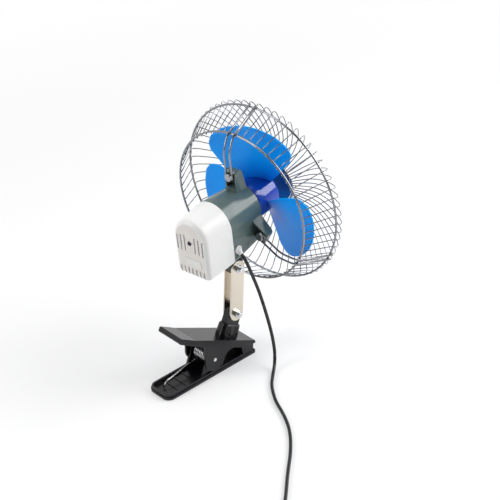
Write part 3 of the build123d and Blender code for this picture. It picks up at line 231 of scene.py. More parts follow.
def map_range(tree, value, to_range, from_range=(0.0, 1.0), smooth=False):
    """The socket of a value carried from one range to another, evenly or with soft ends."""
    node = add_node(tree, "MapRange")
    node.interpolation_type = "SMOOTHSTEP" if smooth else "LINEAR"
    for name, (low, high) in (("From", from_range), ("To", to_range)):
        node.inputs[name + " Min"].default_value = low
        node.inputs[name + " Max"].default_value = high
    tree.links.new(value, node.inputs["Value"])
    return node.outputs["Result"]


# %% A finish with drift and grain
GRAIN_DEPTH = 0.0002        # metres
GLOSS_FINER = 7             # the gloss drifts in patches this much smaller than the colour's
LEAST_ROUGH = 0.02


def finish(name, colour, rough, drift=0.06, gloss_drift=0.05, patch=45.0, grain=0.0, grain_size=2400.0,
           metal=0.0, stretch=(1.0, 1.0, 1.0), **sockets):
    """One Principled material; grain is the bump's strength and stretch draws the grain out.

    The colour goes from (1 - drift) to (1 + drift) of itself, and the roughness from rough - gloss_drift
    to rough + gloss_drift. Other sockets are given by name, with _ for each blank.
    """
    material = bpy.data.materials.new(name)
    material.use_nodes = True
    tree = material.node_tree
    shader = tree.nodes["Principled BSDF"]
    shader.inputs["Metallic"].default_value = metal
    for socket, value in sockets.items():
        shader.inputs[socket.replace("_", " ")].default_value = value
    coords = add_node(tree, "TexCoord")
    mapping = add_node(tree, "Mapping")
    mapping.inputs["Scale"].default_value = stretch
    tree.links.new(coords.outputs["Object"], mapping.inputs["Vector"])

    def noise(scale, detail):
        node = add_node(tree, "TexNoise")
        node.inputs["Scale"].default_value = scale
        node.inputs["Detail"].default_value = detail
        tree.links.new(mapping.outputs["Vector"], node.inputs["Vector"])
        return node.outputs["Fac"]

    ramp = add_node(tree, "ValToRGB")
    low, high = ramp.color_ramp.elements
    low.position, high.position = 0.3, 0.7
    low.color = (*[c * (1 - drift) for c in colour], 1)
    high.color = (*[min(1.0, c * (1 + drift)) for c in colour], 1)
    tree.links.new(noise(patch, 3.0), ramp.inputs["Fac"])
    tree.links.new(ramp.outputs["Color"], shader.inputs["Base Color"])
    gloss = (max(LEAST_ROUGH, rough - gloss_drift), rough + gloss_drift)
    tree.links.new(map_range(tree, noise(patch * GLOSS_FINER, 4.0), gloss), shader.inputs["Roughness"])
    if grain:
        bump = add_node(tree, "Bump")
        bump.inputs["Strength"].default_value = grain
        bump.inputs["Distance"].default_value = GRAIN_DEPTH
        tree.links.new(noise(grain_size, 2.0), bump.inputs["Height"])
        tree.links.new(bump.outputs["Normal"], shader.inputs["Normal"])
    return material


clip_black = finish("clip_black_moulding", (0.003, 0.003, 0.005), 0.25, grain=0.05, drift=0.15,
                    Specular_IOR_Level=0.42)
post_black = finish("post_black_gloss", (0.003, 0.003, 0.004), 0.16, grain=0.03)
housing_grey = finish("housing_grey_green", (0.088, 0.132, 0.130), 0.17, grain=0.03, drift=0.04)
cover_white = finish("cover_white_moulding", (0.82, 0.82, 0.81), 0.3, grain=0.04, drift=0.015)
# the cover's back: matt and grainier, and darker and warmer in colour, which is painted shade
cover_back_shaded = finish("cover_back_matt_painted_shade", (0.72, 0.695, 0.66), 0.5, grain=0.16, drift=0.02)
label_white = finish("label_plate_pale", (0.74, 0.74, 0.72), 0.5, grain=0.1, drift=0.02)
blade_azure = finish("blade_azure_gloss", (0.0, 0.34, 0.96), 0.3, drift=0.05, Specular_IOR_Level=0.25,
                     Subsurface_Weight=0.4, Subsurface_Radius=(0.3, 0.8, 1.0), Subsurface_Scale=0.003)
hub_royal = finish("hub_royal_gloss", (0.002, 0.042, 0.39), 0.13, drift=0.06, Coat_Weight=0.4)
wire_chrome = finish("guard_wire_chrome", (0.28, 0.285, 0.30), 0.09, metal=1.0, drift=0.08, grain=0.1,
                     grain_size=1500)
strap_nickel = finish("strap_nickel", (0.70, 0.64, 0.55), 0.24, metal=1.0, drift=0.05, grain=0.25,
                      grain_size=900, stretch=(1.0, 1.0, 0.08))
bolt_steel = finish("bolt_zinc_steel", (0.66, 0.67, 0.69), 0.18, metal=1.0, drift=0.06, grain=0.15)
screw_steel = finish("screw_dull_steel", (0.36, 0.36, 0.37), 0.16, metal=1.0, drift=0.08, grain=0.1)
screw_dark = finish("screw_black_oxide", (0.05, 0.05, 0.055), 0.22, metal=1.0, drift=0.1, grain=0.1)
spring_steel = finish("spring_bright_steel", (0.50, 0.50, 0.51), 0.22, metal=1.0, drift=0.15, grain=0.1)
cord_black = finish("cord_soft_black", (0.005, 0.005, 0.006), 0.36, grain=0.1, drift=0.1)
plug_black = finish("plug_black_moulding", (0.014, 0.014, 0.015), 0.38, grain=0.15, drift=0.1)
contact_brass = finish("contact_brass", (0.72, 0.52, 0.24), 0.28, metal=1.0, drift=0.08, grain=0.1)
motor_zinc = finish("motor_zinc_can", (0.50, 0.51, 0.53), 0.34, metal=1.0, drift=0.08, grain=0.2)
motor_end = finish("motor_end_black", (0.02, 0.02, 0.02), 0.5, grain=0.2)
gear_nylon = finish("gear_nylon", (0.72, 0.70, 0.62), 0.45, grain=0.1, drift=0.03)
badge_teal = finish("badge_teal_gloss", (0.012, 0.13, 0.30), 0.2, drift=0.15, Coat_Weight=0.5)
print("finishes:", len([m for m in bpy.data.materials if m.use_nodes]))

# %% [markdown]
# The blades' blue is deeper towards the hub. This is painted shade from the housing and hub. Each point of a
# blade keeps a number called "root", highest at the hub and 0 from 26 mm further out, and the blade's finish
# mixes the deeper blue in by it.

# %% Painted shade: deeper blue towards the hub
tree = blade_azure.node_tree
shader = tree.nodes["Principled BSDF"]
root = add_node(tree, "Attribute")
root.attribute_name = "root"
painted_shade_mix = add_node(tree, "Mix")
painted_shade_mix.data_type = "RGBA"
# the deeper blue, painted shade from the housing and hub
painted_shade_mix.inputs["B"].default_value = (0.0, 0.12, 0.62, 1)
tree.links.new(shader.inputs["Base Color"].links[0].from_socket, painted_shade_mix.inputs["A"])
tree.links.new(root.outputs["Fac"], painted_shade_mix.inputs["Factor"])
tree.links.new(painted_shade_mix.outputs["Result"], shader.inputs["Base Color"])
print("nodes in the blades' finish:", len(tree.nodes))

# %% [markdown]
# ## The cord
#
# A thin round 12 V lead, 3.6 mm thick and about 1.5 m long, and limp. It comes straight out of the
# white grommet, hangs down beside the neck, meets the floor and wanders off towards the camera. The
# rest of its length is put away in a two-layer coil beside the plug, outside the picture.
#
# Its line is one NURBS spline steered by a few control points, which it passes near: such a line is as
# smooth as a hanging cord. The coil's turns are more points of the same spline, on a spiral.

# %% The cord's control points
CORD_RADIUS, CORD_REST = 1.8, 2.0   # the second is how high its middle lies on the floor
CORD_STRAIGHT = 8.0                 # straight out of the gland
HOUSING_BACK, HOUSING_LONG = -24.0, 48.3
HOUSING_REAR_RADIUS, HOUSING_TAPER = 26.0, 2.3
GLAND_DIR = np.array([0.12, -0.66, -0.74]) / np.linalg.norm([0.12, -0.66, -0.74])
GLAND_X, GLAND_Z, GLAND_LENGTH = -18.0, -25.0, 6.0
housing_side = HOUSING_REAR_RADIUS - HOUSING_TAPER * (GLAND_X - HOUSING_BACK) / HOUSING_LONG
gland_base = head(np.array([GLAND_X, -housing_side, GLAND_Z]))
cord_exit = gland_base + GLAND_DIR * GLAND_LENGTH
cord_hang = np.array([
    (50.0, -38.8, 114.5), (55.2, -40.0, 94.0), (58.8, -42.0, 71.0), (61.4, -44.2, 49.0),
    (61.9, -47.2, 30.0), (60.3, -50.0, 15.0), (54.5, -54.8, 4.8), (46.5, -61.2, 2.0),
])
cord_floor = np.array([
    (39.0, -68.4, 2.0), (32.25, -74.88, 2.0), (24.0, -86.4, 2.0), (15.0, -101.6, 2.0),
    (7.2, -122.0, 2.0), (-6.0, -147.0, 2.0), (-27.5, -172.5, 2.0), (-53.5, -196.5, 2.0),
    (-78.0, -221.5, 2.0), (-96.0, -238.0, 2.0),
])
print("hanging points:", len(cord_hang), "floor points:", len(cord_floor), "exit", np.round(cord_exit, 2))

# %% [markdown]
# The coil has two layers. The turns of the lower one wind in from COIL_INNER + COIL_TURNS pitches to
# COIL_INNER, the cord climbs one pitch in the middle, and the turns of the upper one wind out again. A
# spline runs a little inside its control points, so the points stand out by 1 / cos(half a step).

# %% The coil, the lead and the plug's place
COIL_TURNS, COIL_INNER, COIL_PITCH, COIL_LEAD = 4, 12.0, 4.15, 8.0
COIL_ENTRY, COIL_SWERVE = 16.0, 0.12    # the second is the turn on the way in, in radians
POINTS_A_QUARTER = 6
last_run = cord_floor[-1] - cord_floor[-2]
heading = math.atan2(last_run[1], last_run[0]) - COIL_SWERVE
facing = np.array([math.cos(heading), math.sin(heading), 0.0])
sideways = np.array([-math.sin(heading), math.cos(heading), 0.0])
coil_start = cord_floor[-1] + facing * COIL_ENTRY
coil_centre = coil_start + facing * COIL_LEAD + sideways * (COIL_INNER + COIL_PITCH * COIL_TURNS)
quarters = 8 * COIL_TURNS + 1
quarter = np.linspace(0, quarters, quarters * POINTS_A_QUARTER + 1)
past = quarter - quarters // 2
radius = (COIL_INNER + COIL_PITCH / 4 * np.abs(past)) / math.cos(math.pi / (4 * POINTS_A_QUARTER))
angle = heading - math.pi / 2 + quarter * math.pi / 2
coil_height = CORD_REST + COIL_PITCH * np.clip((past + 1) / 2, 0, 1)
cord_coil = np.stack([
    coil_centre[0] + radius * np.cos(angle), coil_centre[1] + radius * np.sin(angle), coil_height,
], -1)
out = np.array([-math.sin(angle[-1]), math.cos(angle[-1]), 0.0])
LEAD_LENGTH, LEAD_BENDS, PLUG_RADIUS = 24.0, (0.3, 0.7), 10.4
IN_BOOT = 10.0          # the cord runs on this far inside the plug's boot
coil_end = cord_coil[-1] + out * COIL_LEAD
plug_mouth = np.array([*(coil_end + out * LEAD_LENGTH)[:2], PLUG_RADIUS])
lead = np.array([
    [*(coil_end + out * LEAD_LENGTH * LEAD_BENDS[0])[:2], coil_end[2]],
    [*(coil_end + out * LEAD_LENGTH * LEAD_BENDS[1])[:2], PLUG_RADIUS],
])
route = np.concatenate([
    [cord_exit, cord_exit + GLAND_DIR * CORD_STRAIGHT], cord_hang, cord_floor, [coil_start], cord_coil,
    [coil_end], lead, [plug_mouth],
])
print("control points:", len(route), "plug mouth", np.round(plug_mouth, 2))


# %% Read the smooth line
def spline_line(points, steps=6):
    """The smooth line of a third-order NURBS spline with these control points, as an array in mm."""
    curve = bpy.data.curves.new("cord_line", "CURVE")
    curve.dimensions = "3D"
    curve.resolution_u = steps
    spline = curve.splines.new("NURBS")
    spline.points.add(len(points) - 1)
    spline.points.foreach_set("co", np.c_[points * MM, np.ones(len(points))].ravel())
    spline.order_u = 3
    spline.use_endpoint_u = True
    holder = bpy.data.objects.new("cord_line", curve)
    bpy.context.scene.collection.objects.link(holder)
    mesh = bpy.data.meshes.new_from_object(holder)
    line = np.zeros(len(mesh.vertices) * 3)
    mesh.vertices.foreach_get("co", line)
    bpy.data.objects.remove(holder)
    bpy.data.curves.remove(curve)
    bpy.data.meshes.remove(mesh)
    return line.reshape(-1, 3) / MM


line = spline_line(route)
line[0], line[-1] = cord_exit, plug_mouth
line = np.vstack([line, plug_mouth + out * IN_BOOT])
reach = np.r_[0, np.cumsum(np.linalg.norm(np.diff(line, axis=0), axis=1))]
print("cord length %.0f mm, lowest %.2f mm" % (reach[-1], line[:, 2].min()))

# %% [markdown]
# ## The cord in four lengths
#
# The coil and the plug lie still while the head tilts and swings. The cord near the fan is cut into four
# lengths that share their end rings, one for each joint it passes: swivel, upper bolt, lower bolt, clip. The
# last of them takes in the first stretch on the floor. The two bodies beside each joint are listed with it,
# but the four lengths ride on no body and stay where they lie.

# %% Build the cord
STILL_FROM = cord_floor[4]          # from here on the cord stays on the floor
CUTS = (0.0, 65.0, 97.0, 129.0)     # where the four lengths begin, measured along the cord
SIDES = 14
FORWARD = np.array([1.0, 0.0, 0.0])
hang_end = int(np.argmin(np.linalg.norm(line - STILL_FROM, axis=1)))
marks = [int(np.argmin(np.abs(reach - c))) for c in CUTS] + [hang_end]
crossings = [("knuckle", "head", "swing"), ("neck", "knuckle", "nod"), ("jaw", "neck", "lean"),
             ("base", "jaw", "clip")]
bending_rings = wire_grid(line, CORD_RADIUS, SIDES, FORWARD)
for (low_body, high_body, label), a, b in zip(crossings, marks, marks[1:]):
    part = line[a:b + 1]
    rings = bending_rings[a:b + 1].reshape(-1, 3)
    piece = mesh_piece("cord_" + label, rings, wire_faces(len(part), SIDES), None, cord_black)
    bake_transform(piece)
    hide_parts("cord_drop")
part = line[hang_end:]
rings = wire_grid(part, CORD_RADIUS, SIDES, UP).reshape(-1, 3)
floor_cord = mesh_piece("cord_floor", rings, wire_faces(len(part), SIDES), "base", cord_black)
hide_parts("cord_run", "cord_coil", "cord_lead")


# %% [markdown]
# ## The guard's wires
#
# Sixty-two bright wires run from the centre ring out over a shallow dome, turn a tight elbow in front of
# the big ring, and go back along its inside to the rear ring. All of them are one shape turned round the
# axle, so one path is worked out and carried to sixty-two clock angles in one array operation.
#
# The photograph's wires are thinner than the solids', and their elbows stand about 3 mm further out and
# nearer the big ring, so both follow the photograph here. A weld sinks a wire into its ring, which is
# what the negative WELD does.

# %% Guard wires
WIRE_COUNT, WIRE_PHASE, WIRE_RADIUS, WIRE_SIDES = 62, math.radians(97.6), 0.53, 8
WIRE_TIP, WIRE_TAIL = 0.5, 1.5      # past the centre ring's middle and past the rear ring's
RING_WIRE, WELD = 1.12, -0.1
MAIN_RING, REAR_RING, CENTRE_RING = (52.7, 100.0), (19.7, 84.6), (75.4, 23.5)   # (x, r) of each
slope = np.array([MAIN_RING[0] - REAR_RING[0], MAIN_RING[1] - REAR_RING[1]])
slope /= np.linalg.norm(slope)
inward = np.array([slope[1], -slope[0]])
offset = RING_WIRE + WIRE_RADIUS + WELD
route_2d = np.array([
    (CENTRE_RING[0] + WIRE_TIP, CENTRE_RING[1] + RING_WIRE + WELD),
    (78.6, 34.5), (80.9, 45.0), (80.2, 56.0), (76.4, 69.5), (69.6, 86.0), (62.2, 99.0), (57.4, 103.4),
    np.array(MAIN_RING) + inward * offset, np.array(REAR_RING) + inward * offset - slope * WIRE_TAIL,
])
wire_2d = bent(route_2d, [4.5, 4.8, 5.0, 6.0, 6.0, 2.4, 2.4, 4.0], steps=6)
clock = WIRE_PHASE + np.arange(WIRE_COUNT)[:, None] * 2 * np.pi / WIRE_COUNT
paths = head(around(wire_2d[:, 0], wire_2d[:, 1], clock))
square = head(around(0.0, 1.0, clock + math.pi / 2)) - PIVOT
grid = wire_grid(paths, WIRE_RADIUS, WIRE_SIDES, np.broadcast_to(square, paths.shape))
points_each = len(wire_2d) * WIRE_SIDES
faces = [f for k in range(WIRE_COUNT) for f in wire_faces(len(wire_2d), WIRE_SIDES, k * points_each)]
wires = mesh_piece("guard_wire_cage", grid.reshape(-1, 3), faces, "head", wire_chrome)
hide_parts("guard_wires")
print("wires:", WIRE_COUNT, "faces:", len(faces))


# %% Guard rings
def torus(name, x, r, wire, node, count=192, sides=12):
    """A ring: centre circle r about the axle at x, tube radius wire, both angles on a grid."""
    big = np.linspace(0, 2 * np.pi, count, endpoint=False)[:, None]
    small = np.linspace(0, 2 * np.pi, sides, endpoint=False)[None, :]
    points = head(around(x + wire * np.sin(small), r + wire * np.cos(small), big))
    faces = grid_faces(count + 1, sides, True) % (count * sides)
    piece = mesh_piece(name, points.reshape(-1, 3), faces[:, ::-1], "head", wire_chrome)
    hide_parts(node)
    return piece


torus("guard_ring_big", *MAIN_RING, RING_WIRE, "ring_main")
torus("guard_ring_rear", *REAR_RING, RING_WIRE, "ring_rear")
torus("guard_ring_centre", *CENTRE_RING, RING_WIRE, "ring_centre", count=96)
print("rings over their wire: %.1f, %.1f, %.1f mm" % tuple(
    2 * (ring[1] + RING_WIRE) for ring in (MAIN_RING, REAR_RING, CENTRE_RING)))

# %% [markdown]
# Three hairpins of thicker wire hold the guard. Each one comes from the big ring over the outside of both
# rings, bends in to an ear, turns round its screw and goes back the same way 7.5 mm beside itself.

# %% Hairpin stays
STAY_WIRE, STAY_HALF, STAY_X, STAY_ELBOW, STAY_TURN = 1.1, 3.75, 7.4, 69.0, 36.25
STAY_TAIL, STAY_SIDES = 2.0, 12
EAR_ANGLES = (90, 210, 330)
outward = -(RING_WIRE + STAY_WIRE + WELD)
rear_point = np.array(REAR_RING) + inward * outward
main_point = np.array(MAIN_RING) + inward * outward
side = np.array([
    main_point + slope * STAY_TAIL, rear_point - slope * 2 * STAY_TAIL,
    (STAY_X, STAY_ELBOW), (STAY_X, STAY_TURN),
])
there = np.c_[side[:, 0], np.full(4, STAY_HALF), side[:, 1]]
back_again = there[::-1] * (1, -1, 1)
hairpin = bent(np.concatenate([there, back_again]), [6.0, 5.0, 3.6, 3.6, 5.0, 6.0], steps=9)
NEVER_ALONG = np.array([1.0, 0.35, 0.55])       # a direction that no run of the hairpin follows
for number, clock_degrees in enumerate(EAR_ANGLES, 1):
    t = math.radians(clock_degrees - 90)
    turn = np.array([[1, 0, 0], [0, math.cos(t), math.sin(t)], [0, -math.sin(t), math.cos(t)]])
    path = head(hairpin @ turn)
    across = head(NEVER_ALONG @ turn) - PIVOT
    grid = wire_grid(path, STAY_WIRE, STAY_SIDES, across)
    stay = mesh_piece("guard_stay_%d" % number, grid.reshape(-1, 3), wire_faces(len(path), STAY_SIDES),
                      "head", wire_chrome)
    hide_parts("guard_stays")
print("stays:", len(EAR_ANGLES), "points along each:", len(hairpin))

# %% [markdown]
# ## The fan
#
# The fan is one blue moulding: a deep cup over the axle and three wide blades. A blade is a piece of a
# helix surface: as it sweeps round the axle from its rear edge to its front edge it also moves forward.
# Its two ends are rounded off: a short table says, for shares of the sweep, how far its inner edge is
# lifted off the hub and how far its outer edge drops short of the tip's circle.

# %% Blades
BLADE_TIP, BLADE_ROOT = 80.0, 20.0
BLADE_BACK, BLADE_FRONT = (35.5, 42.0), (55.0, 132.0)   # x and degrees of each edge
BLADE_COUNT, BLADE_WALL, BLADE_EDGE = 3, 1.4, 0.5
SWEEP_POINTS, SPAN_POINTS = 56, 20
# painted shade on the blades: how far it reaches from the hub, and its share there
SHADE_REACH, SHADE_MOST = 26.0, 0.75      # how far the deeper blue reaches, and its share at the hub
shares = np.array([0.0, 0.035, 0.10, 0.22, 0.50, 0.76, 0.90, 0.965, 1.0])
lifts = np.array([22, 14, 4, 0, 0, 0, 0, 0, 0])
drops = np.array([13.0, 6.5, 2.0, 0.0, 0.0, 0.6, 3.0, 8.0, 18.0])
sweep = 0.5 - 0.5 * np.cos(np.linspace(0, np.pi, SWEEP_POINTS))
inner = BLADE_ROOT + np.interp(sweep, shares, lifts)
outer = BLADE_TIP - np.interp(sweep, shares, drops)
share = sweep[:, None]
along_span = np.linspace(0, 1, SPAN_POINTS)[None, :]
blade_r = inner[:, None] + (outer - inner)[:, None] * along_span
blade_x = BLADE_BACK[0] + (BLADE_FRONT[0] - BLADE_BACK[0]) * share
# each point's share of painted shade, highest at the hub
hub_shade_share = np.clip(1 - (blade_r - BLADE_ROOT) / SHADE_REACH, 0, 1).ravel() * SHADE_MOST
blade_faces = grid_faces(SWEEP_POINTS, SPAN_POINTS, False)
for number in range(BLADE_COUNT):
    t = np.radians(BLADE_BACK[1] + (BLADE_FRONT[1] - BLADE_BACK[1]) * share + 360 // BLADE_COUNT * number)
    points = head(around(blade_x, blade_r, t))
    blade = mesh_piece("fan_blade_%d" % (number + 1), points.reshape(-1, 3), blade_faces,
                       "rotor", blade_azure)
    blade.data.attributes.new("root", "FLOAT", "POINT").data.foreach_set("value", hub_shade_share)
    wall = blade.modifiers.new("wall", "SOLIDIFY")
    wall.thickness, wall.offset = BLADE_WALL * MM, 0.0
    edge = blade.modifiers.new("edge", "BEVEL")
    edge.width, edge.segments = BLADE_EDGE * MM, 2
    edge.limit_method, edge.angle_limit = "ANGLE", math.radians(50)
    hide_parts("fan_blades")
print("blade grid", points.shape)


# %% Hub
def lathe(name, profile, body, material, count=96):
    """A profile of (x, r) points turned round the fan's axle."""
    t = np.linspace(0, 2 * np.pi, count, endpoint=False)[:, None]
    profile = np.asarray(profile, float)
    points = head(around(profile[:, 0], profile[:, 1], t))
    faces = grid_faces(count + 1, len(profile), False) % (count * len(profile))
    piece = mesh_piece(name, points.reshape(-1, 3), faces, body, material)
    closed = bmesh.new()
    closed.from_mesh(piece.data)
    bmesh.ops.remove_doubles(closed, verts=closed.verts, dist=1e-7)
    bmesh.ops.recalc_face_normals(closed, faces=closed.faces)
    closed.to_mesh(piece.data)
    closed.free()
    return piece


HUB_ROUND, HUB_BORE = 4.0, 2.02
round_off = np.radians(np.linspace(0, 90, 8))
hub_shoulder = np.c_[55.5 + HUB_ROUND * np.sin(round_off), 16.8 + HUB_ROUND * np.cos(round_off)]
hub = lathe("fan_hub", [
    (26.4, 20.6), (26.5, 21.7), (27.1, 22.0), *hub_shoulder, (59.5, 8.0), (59.1, 7.0), (59.1, HUB_BORE),
    (30.4, HUB_BORE), (30.4, 6.0), (57.0, 6.0), (57.0, 15.0), (55.0, 18.2), (27.0, 19.6), (26.4, 20.6),
], "rotor", hub_royal)
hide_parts("fan_blades")
print("hub faces:", len(hub.data.polygons))

# %% [markdown]
# ## The clip's spring
#
# A torsion spring of 1.8 mm wire sits round the clip's pin. One leg runs back over the lower lever's tray and
# bends down to its floor, and the other pushes up under the handle. The coil is a helix: x and z go round a
# circle while y moves evenly from one side to the other. Each leg leaves the coil along a tangent to a known
# point: the angle of the line to that point, less or more asin(coil radius / distance). When the clip opens,
# the real coil winds up a little; here the spring is one still piece on no body.

# %% Clip spring
PIN = np.array(joints["clip_open"]["pos_m"]) / MM
SPRING_WIRE, SPRING_R, SPRING_TURNS, SPRING_PITCH = 1.8, 7.4, 8, 2.4
SPRING_FOOT, SPRING_DROP, SPRING_TOE = 50.5, 10.6, 44.0     # back, down, and the toe's degrees from upright
SPRING_REACH, SPRING_TIP = 45.0, 0.93   # to the point that the high leg aims at, and the share it covers
LEVER_TOP, LEVER_PITCH, CLIP_WALL, SEAT_GAP = 22.0, 27.6, 2.4, 0.3
LEG_LEAN, BEND_LEAN = 3.2, 3.8      # the low leg leans in from the coil's end to the middle of the tray
seat = CLIP_WALL + SPRING_WIRE / 2 + SEAT_GAP
low_bend = np.array([-SPRING_FOOT, -SPRING_DROP])
slope_back = math.atan2(SPRING_DROP, SPRING_FOOT) - math.asin(SPRING_R / np.hypot(*low_bend))
begin = -math.pi / 2 + slope_back
toe_z = seat - PIN[2]
toe_x = low_bend[0] - (low_bend[1] - toe_z) * math.tan(math.radians(SPRING_TOE))
under = LEVER_TOP - seat
end_far = math.hypot(under, SPRING_REACH)
leave = (math.pi / 2 - math.radians(LEVER_PITCH) + math.asin(SPRING_R / end_far)
         - math.atan2(under, SPRING_REACH))
turns = np.linspace(begin, leave + 2 * math.pi * (SPRING_TURNS - 1), 24 * SPRING_TURNS)
y_start = SPRING_PITCH * SPRING_TURNS / 2
helix = np.stack([
    SPRING_R * np.cos(turns), np.linspace(y_start, -y_start, len(turns)), SPRING_R * np.sin(turns),
], -1)
tip = helix[-1] + np.array([-math.sin(leave), 0, math.cos(leave)]) * end_far * SPRING_TIP
low_leg = bent([(toe_x, LEG_LEAN, toe_z), (low_bend[0], BEND_LEAN, low_bend[1]), helix[0]], [2.5])
high_leg = [helix[-1] * 0.4 + tip * 0.6, tip]
spring_path = np.concatenate([low_leg[:-1], helix, high_leg]) + PIN
spring_along = np.array([0.0, 1.0, 0.0])
grid = wire_grid(spring_path, SPRING_WIRE / 2, 12, spring_along).reshape(-1, 3)
spring = mesh_piece("clip_spring_wire", grid, wire_faces(len(spring_path), 12), None, spring_steel)
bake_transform(spring)
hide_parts("clip_spring")
print("spring points:", len(spring_path))

# %% [markdown]
# ## Moulded and pressed pieces
#
# The clip, the post, the housing, the cover and the small metal pieces already have their shape. What a
# camera misses on them is the small radius that every mould and press leaves on an edge, because that
# is where the light catches. Each solid is copied, its loose triangles are joined, flat areas become
# single faces, and a Bevel modifier rounds the edges that are still sharp.
#
# Its clamp narrows all the bevels of a piece to what the tightest place on it allows. The small pieces
# get about the widths given below. Seven pieces don't: the lower lever gets 0.15 mm, the post 0.13, the
# knuckle 0.08, the upper lever 0.05, the housing 0.04 and the gland 0.03, as measured at half of their
# edges' length, and the cover gets none. What is round on the cover is the solid's own 6 mm.


# %% Round the edges of a solid
SAME_POINT, SAME_PLANE = 2e-6, math.radians(0.8)    # metres and radians


def softened(node, material, width, segments=2, sharp=28.0):
    """A copy of a CAD node with joined faces and rounded edges; width is in mm, before the clamp."""
    source = nodes[node]
    mesh = source.data.copy()
    mesh.materials.clear()
    joined = bmesh.new()
    joined.from_mesh(mesh)
    bmesh.ops.remove_doubles(joined, verts=joined.verts, dist=SAME_POINT)
    bmesh.ops.dissolve_limit(joined, angle_limit=SAME_PLANE, verts=joined.verts, edges=joined.edges)
    joined.to_mesh(mesh)
    joined.free()
    mesh.polygons.foreach_set("use_smooth", np.full(len(mesh.polygons), True))
    mesh.set_sharp_from_angle(angle=math.radians(sharp))
    piece = bpy.data.objects.new(node + "_skin", mesh)
    bpy.context.scene.collection.objects.link(piece)
    mesh.materials.append(material)
    if width:
        edge = piece.modifiers.new("edge", "BEVEL")
        edge.width, edge.segments = width * MM, segments
        edge.limit_method, edge.angle_limit = "ANGLE", math.radians(sharp)
        edge.use_clamp_overlap, edge.harden_normals = True, True
    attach(piece, source["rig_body"])
    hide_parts(node)
    return piece


for node, material, width in (
    ("lower_lever", clip_black, 0.28), ("upper_lever", clip_black, 0.55), ("post", post_black, 0.5),
    ("knuckle", post_black, 0.4), ("housing", housing_grey, 0.5), ("rear_cover", cover_white, 0.35),
    ("label_plate", label_white, 0.15), ("cord_gland", cover_white, 0.3), ("front_badge", badge_teal, 0.3),
    ("strap_near", strap_nickel, 0.15), ("strap_far", strap_nickel, 0.15),
    ("neck_bolts", bolt_steel, 0.25), ("neck_nuts", bolt_steel, 0.25), ("clip_pin", bolt_steel, 0.2),
    ("ear_screws", screw_steel, 0.2), ("cover_screw", screw_dark, 0.15), ("post_screws", bolt_steel, 0.2),
    ("stem_washer", bolt_steel, 0.1), ("stem_screw", bolt_steel, 0.15), ("swivel_arm", bolt_steel, 0.15),
    ("link_arm", bolt_steel, 0.15), ("crank_disc", bolt_steel, 0.15), ("rotor_shaft", bolt_steel, 0.2),
    ("motor_can", motor_zinc, 0.4), ("gear_case", motor_zinc, 0.2), ("motor_cap", motor_end, 0.4),
    ("motor_bushes", contact_brass, 0.0), ("worm", contact_brass, 0.2), ("worm_wheel", gear_nylon, 0.1),
    ("plug_boot", cord_black, 0.2), ("plug_body", plug_black, 0.4), ("plug_tip", contact_brass, 0.2),
    ("plug_wings", contact_brass, 0.2),
):
    softened(node, material, width)

# %% [markdown]
# The cover's flat back is duller than its sides. Its darker, warmer colour is painted shade, because the back
# faces away from the key lamp. The faces that look straight back and lie rearmost take this second finish:
# matt and grainier, with the painted shade in its colour.

# %% The cover's matt back, with painted shade
BACK_DEPTH = 0.4
cover = bpy.data.objects["rear_cover_skin"]
cover.data.materials.append(cover_back_shaded)
corners = np.array([v.co for v in cover.data.vertices])
rearmost = (corners @ AHEAD).min()
for face in cover.data.polygons:
    looks_back = np.array(face.normal) @ AHEAD < -0.98
    if looks_back and np.array(face.center) @ AHEAD < rearmost + BACK_DEPTH * MM:
        face.material_index = 1
print("matt faces:", sum(face.material_index for face in cover.data.polygons))

# %% [markdown]
# ## Floor, world and lamps
#
# The photograph is a studio shot on white. The floor is white paper: it takes light and keeps the soft
# shadow under the clip. For the camera and for mirrors it also glows, a third or so of it near the fan
# and all of it from a metre away, so that it melts into the white behind.
#
# The world is pure white for the camera. As light it is bright ahead of the fan and darker behind the
# camera, as a studio is, and that puts dark and light streaks side by side on the chrome.

# %% Floor
FLOOR_HALF = 6000.0
GLOW_NEAR, GLOW_FAR = 0.36, 1.0
GLOW_FROM, GLOW_TO = 0.25, 1.0      # metres from the fan
paper = bpy.data.materials.new("white_paper")
paper.use_nodes = True
tree = paper.node_tree
tree.nodes.clear()
matt = add_node(tree, "BsdfDiffuse")
matt.inputs["Color"].default_value = (0.91, 0.91, 0.915, 1)
glow = add_node(tree, "Emission")
glow.inputs["Color"].default_value = (1, 1, 1, 1)
coords = add_node(tree, "TexCoord")
distance = add_node(tree, "VectorMath", "LENGTH")
tree.links.new(coords.outputs["Object"], distance.inputs[0])
glowing = map_range(tree, distance.outputs["Value"], (GLOW_NEAR, GLOW_FAR), (GLOW_FROM, GLOW_TO), smooth=True)
light_path = add_node(tree, "LightPath")
seen = add_node(tree, "Math", "MAXIMUM")
tree.links.new(light_path.outputs["Is Camera Ray"], seen.inputs[0])
tree.links.new(light_path.outputs["Is Glossy Ray"], seen.inputs[1])
glow_share = add_node(tree, "Math", "MULTIPLY")
tree.links.new(seen.outputs[0], glow_share.inputs[0])
tree.links.new(glowing, glow_share.inputs[1])
mixed = add_node(tree, "MixShader")
tree.links.new(glow_share.outputs[0], mixed.inputs["Fac"])
tree.links.new(matt.outputs[0], mixed.inputs[1])
tree.links.new(glow.outputs[0], mixed.inputs[2])
tree.links.new(mixed.outputs[0], add_node(tree, "OutputMaterial").inputs["Surface"])
corners = np.array([(-1, -1, 0), (1, -1, 0), (1, 1, 0), (-1, 1, 0)]) * FLOOR_HALF
floor = mesh_piece("floor", corners, [(0, 1, 2, 3)], None, paper, smooth=False)
print("floor of %.0f m, glowing from %.0f to %.0f percent" % (
    2 * FLOOR_HALF * MM, GLOW_NEAR * 100, GLOW_FAR * 100))

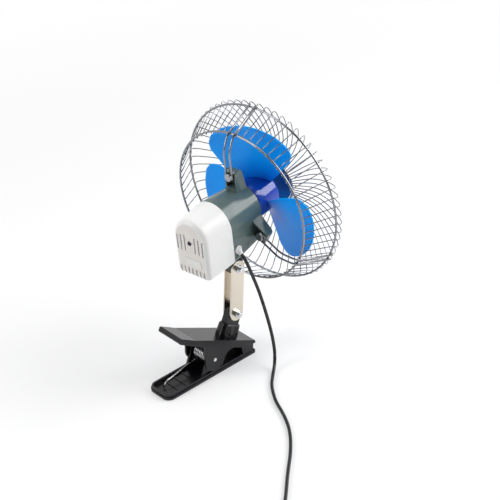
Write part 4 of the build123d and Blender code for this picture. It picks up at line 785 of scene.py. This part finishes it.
# %% World
WORLD_DARK, WORLD_BRIGHT = 0.12, 0.9
DARK_UP_TO, BRIGHT_FROM = -0.9, 0.45    # cosines of the angle to the camera's line of sight
world = bpy.data.worlds.new("studio")
bpy.context.scene.world = world
world.use_nodes = True
tree = world.node_tree
tree.nodes.clear()
coords = add_node(tree, "TexCoord")
facing_away = add_node(tree, "VectorMath", "DOT_PRODUCT")
facing_away.inputs[1].default_value = tuple(-backward)
tree.links.new(coords.outputs["Generated"], facing_away.inputs[0])
light = map_range(tree, facing_away.outputs["Value"], (WORLD_DARK, WORLD_BRIGHT),
                  (DARK_UP_TO, BRIGHT_FROM), smooth=True)
light_path = add_node(tree, "LightPath")
choose = add_node(tree, "Mix")
choose.data_type = "FLOAT"
tree.links.new(light_path.outputs["Is Camera Ray"], choose.inputs["Factor"])
tree.links.new(light, choose.inputs["A"])
choose.inputs["B"].default_value = 1.0
sky = add_node(tree, "Background")
sky.inputs["Color"].default_value = (1, 1, 1, 1)
tree.links.new(choose.outputs["Result"], sky.inputs["Strength"])
tree.links.new(sky.outputs[0], add_node(tree, "OutputWorld").inputs["Surface"])
print("world from %.2f behind the camera to %.2f ahead of it" % (WORLD_DARK, WORLD_BRIGHT))


# %% Lamps
def softbox(name, direction, far, watts, size):
    """A square lamp, far mm from the camera's aim in a direction and facing it; size is in mm."""
    lamp = bpy.data.lights.new(name, "AREA")
    lamp.energy, lamp.size = watts, size * MM
    holder = bpy.data.objects.new(name, lamp)
    bpy.context.scene.collection.objects.link(holder)
    place_mm = CAMERA_AIM + direction * far
    towards = CAMERA_AIM - place_mm
    towards /= np.linalg.norm(towards)
    side = np.cross(towards, UP + level * 0.01)
    side /= np.linalg.norm(side)
    pose = np.eye(4)
    pose[:3, 0], pose[:3, 1], pose[:3, 2] = side, np.cross(side, towards), -towards
    pose[:3, 3] = place_mm * MM
    holder.matrix_world = Matrix(pose.tolist())


# The key stands where the camera would be if it looked at the fan's front: the camera's direction,
# mirrored from behind the fan to ahead of it.
mirrored = backward - 2 * (backward @ AHEAD) * AHEAD
softbox("key", mirrored, 1250, watts=15.5, size=900)
softbox("fill", 0.45 * LEFT + 0.50 * UP - 0.74 * AHEAD, 1300, watts=6.4, size=600)
softbox("overhead", UP, 1300, watts=3.8, size=700)
bpy.context.scene.view_settings.view_transform = "Standard"
print("lamps:", len(bpy.data.lights), "watts:", [round(lamp.energy, 1) for lamp in bpy.data.lights])
